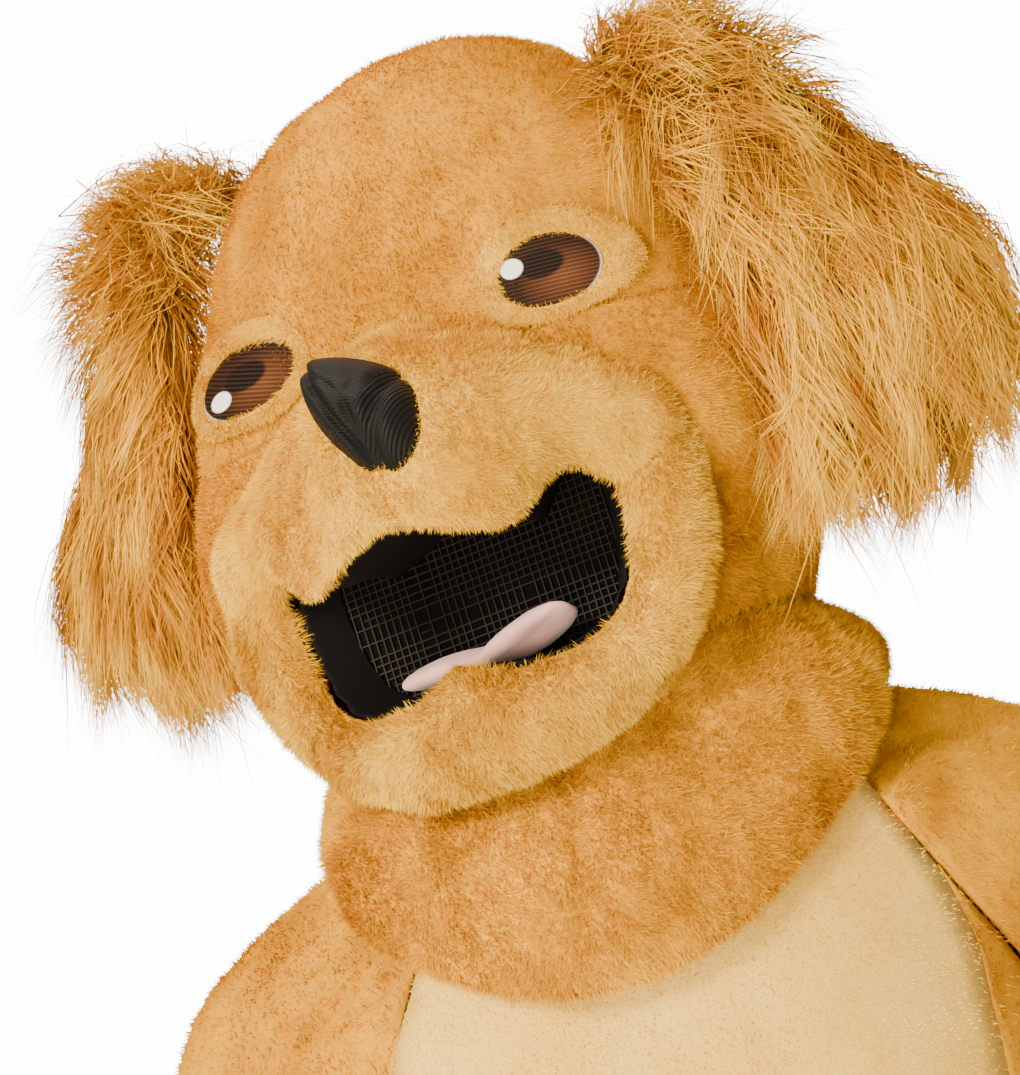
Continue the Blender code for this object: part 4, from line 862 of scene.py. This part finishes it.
def makeNose():
    f = noseFacts
    piece = softCopy("nose", "noseCap")
    mesh = piece.data
    local = toHead(readVerts(mesh)) / mm
    x, z = local[:, 0], local[:, 2] - f["middle"]
    angle = np.degrees(np.arctan2(x, z - f["point"]))
    far = np.hypot(x, z - f["point"])
    # how far each place is from the pleats, in millimetres
    pleat = np.radians(np.abs(np.abs(angle) - f["spread"])) * far
    farthest, fadeOver = f["fadeOut"]
    fade = np.clip(far / f["fadeIn"], 0, 1) * np.clip((farthest - far) / fadeOver, 0, 1)
    push = -f["pleatDeep"] * np.exp(-(pleat / f["pleatWide"]) ** 2) * fade
    push += f["puff"] * np.exp(-((pleat - f["puffAt"]) / f["puffWide"]) ** 2) * fade
    flatBack, backOver = f["back"]
    front = np.clip((local[:, 1].max() - flatBack - local[:, 1]) / backOver, 0, 1)
    local[:, 1] -= push * front
    world = fromHead(local * mm)
    world[:, (0, 2)] = world[:, (0, 2)] @ np.array(f["skew"]).T + np.array(f["shift"]) * mm
    writeVerts(mesh, world)
    # the ribs of the middle facet lie level and those of the side facets follow the pleats
    layer = mesh.uv_layers.new(name="rib")
    corners = cornerVerts(mesh)
    centre = toHead(np.array([p.center for p in mesh.polygons])) / mm
    facet = np.degrees(np.arctan2(centre[:, 0], centre[:, 2] - f["middle"] - f["point"]))
    facet = np.repeat(facet, [p.loop_total for p in mesh.polygons])
    turn = math.radians(f["spread"] + f["ribTurn"])
    cornerX, cornerZ = x[corners], z[corners]
    middle = cornerZ + f["ribBend"] * cornerX * cornerX / 3
    side = np.abs(cornerX) * math.cos(turn) - (cornerZ - f["point"]) * math.sin(turn)
    along = np.where(np.abs(facet) < f["spread"], middle, side) / f["rib"]
    layer.data.foreach_set("uv", np.stack((along, np.zeros(len(along))), 1).ravel())
    mesh.materials.append(noseMaterial())
    ride(piece, ["nose"])


makeNose()
say("nose done")


# the printed eyes

eyeFacts = {
    "eye_left": {"grow": (1.08, 1.12), "bulge": 1.8, "iris": (-0.08, 0.02, 1.04), "pupil": (-0.06, 0.22, 0.42),
                 "glint": (-0.62, 0.36, 0.23), "stripes": 62.0, "stripeTurn": 8.0},
    "eye_right": {"grow": (1.04, 1.2), "bulge": 1.8, "iris": (0.06, 0.10, 1.04), "pupil": (-0.02, 0.10, 0.40),
                  "glint": (-0.55, -0.22, 0.22), "stripes": 62.0, "stripeTurn": 34.0},
}
printFacts = {
    "dark": (0.022, 0.009, 0.004), "light": (0.150, 0.052, 0.016), "lightAt": (0.25, -0.25, 0.45, 0.42),
    "pupil": (0.008, 0.004, 0.003), "line": (0.16, 0.07, 0.03), "lineShare": 0.14, "glint": (0.86, 0.84, 0.80),
    "around": (0.50, 0.47, 0.44), "stripes": [(0.0, (0.55, 0.50, 0.46)), (0.6, white)], "bump": (0.4, 0.0003),
    "finish": {"Roughness": 0.7, "Specular IOR Level": 0.1},
}


def eyePrint(name, f):
    look = printFacts
    made, tree, shader = shaderTree(name)
    uv = node(tree, "ShaderNodeTexCoord").outputs["UV"]

    def disc(x, y, radius, soft, stretch=1.0):
        # 1 inside a disc of the print and 0 outside it
        away = node(tree, "ShaderNodeMapping")
        away.inputs["Location"].default_value = (-x, -y * stretch, 0)
        away.inputs["Scale"].default_value = (1, stretch, 1)
        tree.links.new(uv, away.inputs["Vector"])
        length = node(tree, "ShaderNodeVectorMath", operation="LENGTH")
        tree.links.new(away.outputs["Vector"], length.inputs[0])
        edge = node(tree, "ShaderNodeMapRange")
        edge.inputs["From Min"].default_value = radius - soft
        edge.inputs["From Max"].default_value = radius + soft
        edge.inputs["To Min"].default_value = 1.0
        edge.inputs["To Max"].default_value = 0.0
        tree.links.new(length.outputs["Value"], edge.inputs["Value"])
        return edge.outputs["Result"]

    brown = mix(tree, look["dark"], look["light"], disc(*look["lightAt"]))
    brown = mix(tree, brown, look["pupil"], disc(*f["pupil"], 0.04, 1.15))
    turned = node(tree, "ShaderNodeMapping")
    turned.inputs["Rotation"].default_value = (0, 0, math.radians(f["stripeTurn"]))
    turned.inputs["Scale"].default_value = (f["stripes"], f["stripes"], 1)
    tree.links.new(uv, turned.inputs["Vector"])
    part = node(tree, "ShaderNodeSeparateXYZ")
    tree.links.new(turned.outputs["Vector"], part.inputs["Vector"])
    wave = node(tree, "ShaderNodeMath", operation="SINE")
    tree.links.new(part.outputs["Y"], wave.inputs[0])
    brown = mix(tree, brown, ramp(tree, wave.outputs[0], look["stripes"]), 1.0, "MULTIPLY")
    lines = node(tree, "ShaderNodeMapRange")
    lines.inputs["From Min"].default_value = 0.2
    lines.inputs["To Max"].default_value = look["lineShare"]
    tree.links.new(wave.outputs[0], lines.inputs["Value"])
    brown = mix(tree, brown, look["line"], lines.outputs["Result"])
    colour = mix(tree, look["around"], brown, disc(*f["iris"], 0.02))
    colour = mix(tree, colour, look["glint"], disc(*f["glint"], 0.02, 0.9))
    tree.links.new(colour, shader.inputs["Base Color"])
    addBump(tree, shader, wave.outputs[0], *look["bump"])
    finish(shader, look["finish"])
    return made


def makeEye(nodeName, f):
    piece = softCopy(nodeName, camel(nodeName, "Print"))
    mesh = piece.data
    local = toHead(readVerts(mesh)) / mm
    phi = np.degrees(np.arctan2(local[:, 0], -local[:, 1]))
    u = (2 * phi - phi.max() - phi.min()) / np.ptp(phi)
    v = (2 * local[:, 2] - local[:, 2].max() - local[:, 2].min()) / np.ptp(local[:, 2])
    corners = cornerVerts(mesh)
    layer = mesh.uv_layers.new(name="print")
    layer.data.foreach_set("uv", np.stack((u[corners], v[corners]), 1).ravel())
    local = (local - local.mean(0)) * (f["grow"][0], 1.0, f["grow"][1]) + local.mean(0)
    co = fuller(fromHead(local * mm))
    writeVerts(mesh, co + fromCore(co) * f["bulge"] * mm)
    mesh.materials.append(eyePrint(camel(nodeName, "Cloth"), f))
    ride(piece, [nodeName])


for eyeName, eye in eyeFacts.items():
    makeEye(eyeName, eye)
say("eyes done")


# floor, light and camera

stageFacts = {"floor": -1.387, "half": 12.0, "wallAt": 10.0, "wallGlow": 14.0, "paper": (0.92, 0.92, 0.92, 1),
              "lightColour": (1.0, 0.90, 0.74), "lightAim": (0, 0, 0.1), "room": 0.42}
lightFacts = {
    "keyLight": {"at": (-1.9, -2.3, 1.5), "size": (1.1, 1.1), "watts": 190},
    "lowLight": {"at": (-0.9, -2.8, -0.5), "size": (1.4, 1.0), "watts": 98},
    "fillLight": {"at": (2.2, -2.2, 1.0), "size": (1.8, 1.8), "watts": 14},
    "topLight": {"at": (-0.2, 0.2, 2.6), "size": (1.6, 1.6), "watts": 68},
}


def makeStagePlane(name, corners, glow=0):
    # one that glows is seen by the camera alone, and lights nothing
    bm = bmesh.new()
    bm.faces.new([bm.verts.new(corner) for corner in corners])
    mesh = bpy.data.meshes.new(name)
    bm.to_mesh(mesh)
    bm.free()
    made, _, shader = shaderTree(name + "Paper")
    finish(shader, {"Base Color": stageFacts["paper"], "Roughness": 0.9})
    mesh.materials.append(made)
    plane = placed(name, mesh)
    if glow:
        finish(shader, {"Emission Color": (1, 1, 1, 1), "Emission Strength": glow})
        plane.visible_diffuse = plane.visible_glossy = plane.visible_shadow = False


def makeLight(name, f):
    lamp = bpy.data.lights.new(name, "AREA")
    lamp.shape = "RECTANGLE"
    lamp.size, lamp.size_y = f["size"]
    lamp.energy = f["watts"]
    lamp.color = stageFacts["lightColour"]
    holder = placed(name, lamp)
    holder.location = f["at"]
    holder.rotation_euler = (Vector(stageFacts["lightAim"]) - Vector(f["at"])).to_track_quat("-Z", "Y").to_euler()


half, ground, wallAt = stageFacts["half"], stageFacts["floor"], stageFacts["wallAt"]
makeStagePlane("floor", [(-half, -half, ground), (half, -half, ground), (half, wallAt, ground),
                         (-half, wallAt, ground)])
makeStagePlane("backdrop", [(-half, wallAt, ground), (half, wallAt, ground), (half, wallAt, half),
                            (-half, wallAt, half)], stageFacts["wallGlow"])
for lightName, light in lightFacts.items():
    makeLight(lightName, light)
world = bpy.data.worlds.new("studio")
world.use_nodes = True
finish(world.node_tree.nodes["Background"], {"Color": (1, 1, 1, 1), "Strength": stageFacts["room"]})
bpy.context.scene.world = world

# the camera looks almost level at the face and is tipped to one side
cameraFacts = {"elevation": -2.0, "roll": -12.0, "away": 2.5, "lens": 152.2, "sensor": 36.0,
               "aim": (-0.029, -0.10, 0.124)}
elevation = math.radians(cameraFacts["elevation"])
back = Vector((0, -math.cos(elevation), math.sin(elevation)))
lens = bpy.data.cameras.new("camera")
lens.lens = cameraFacts["lens"]
lens.sensor_width = cameraFacts["sensor"]
lens.sensor_fit = "AUTO"
camera = placed("camera", lens)
camera.rotation_mode = "QUATERNION"
roll = Quaternion((0, 0, 1), math.radians(cameraFacts["roll"]))
camera.rotation_quaternion = (-back).to_track_quat("-Z", "Y") @ roll
camera.location = Vector(cameraFacts["aim"]) + back * cameraFacts["away"]
bpy.context.scene.camera = camera
say("stage done")
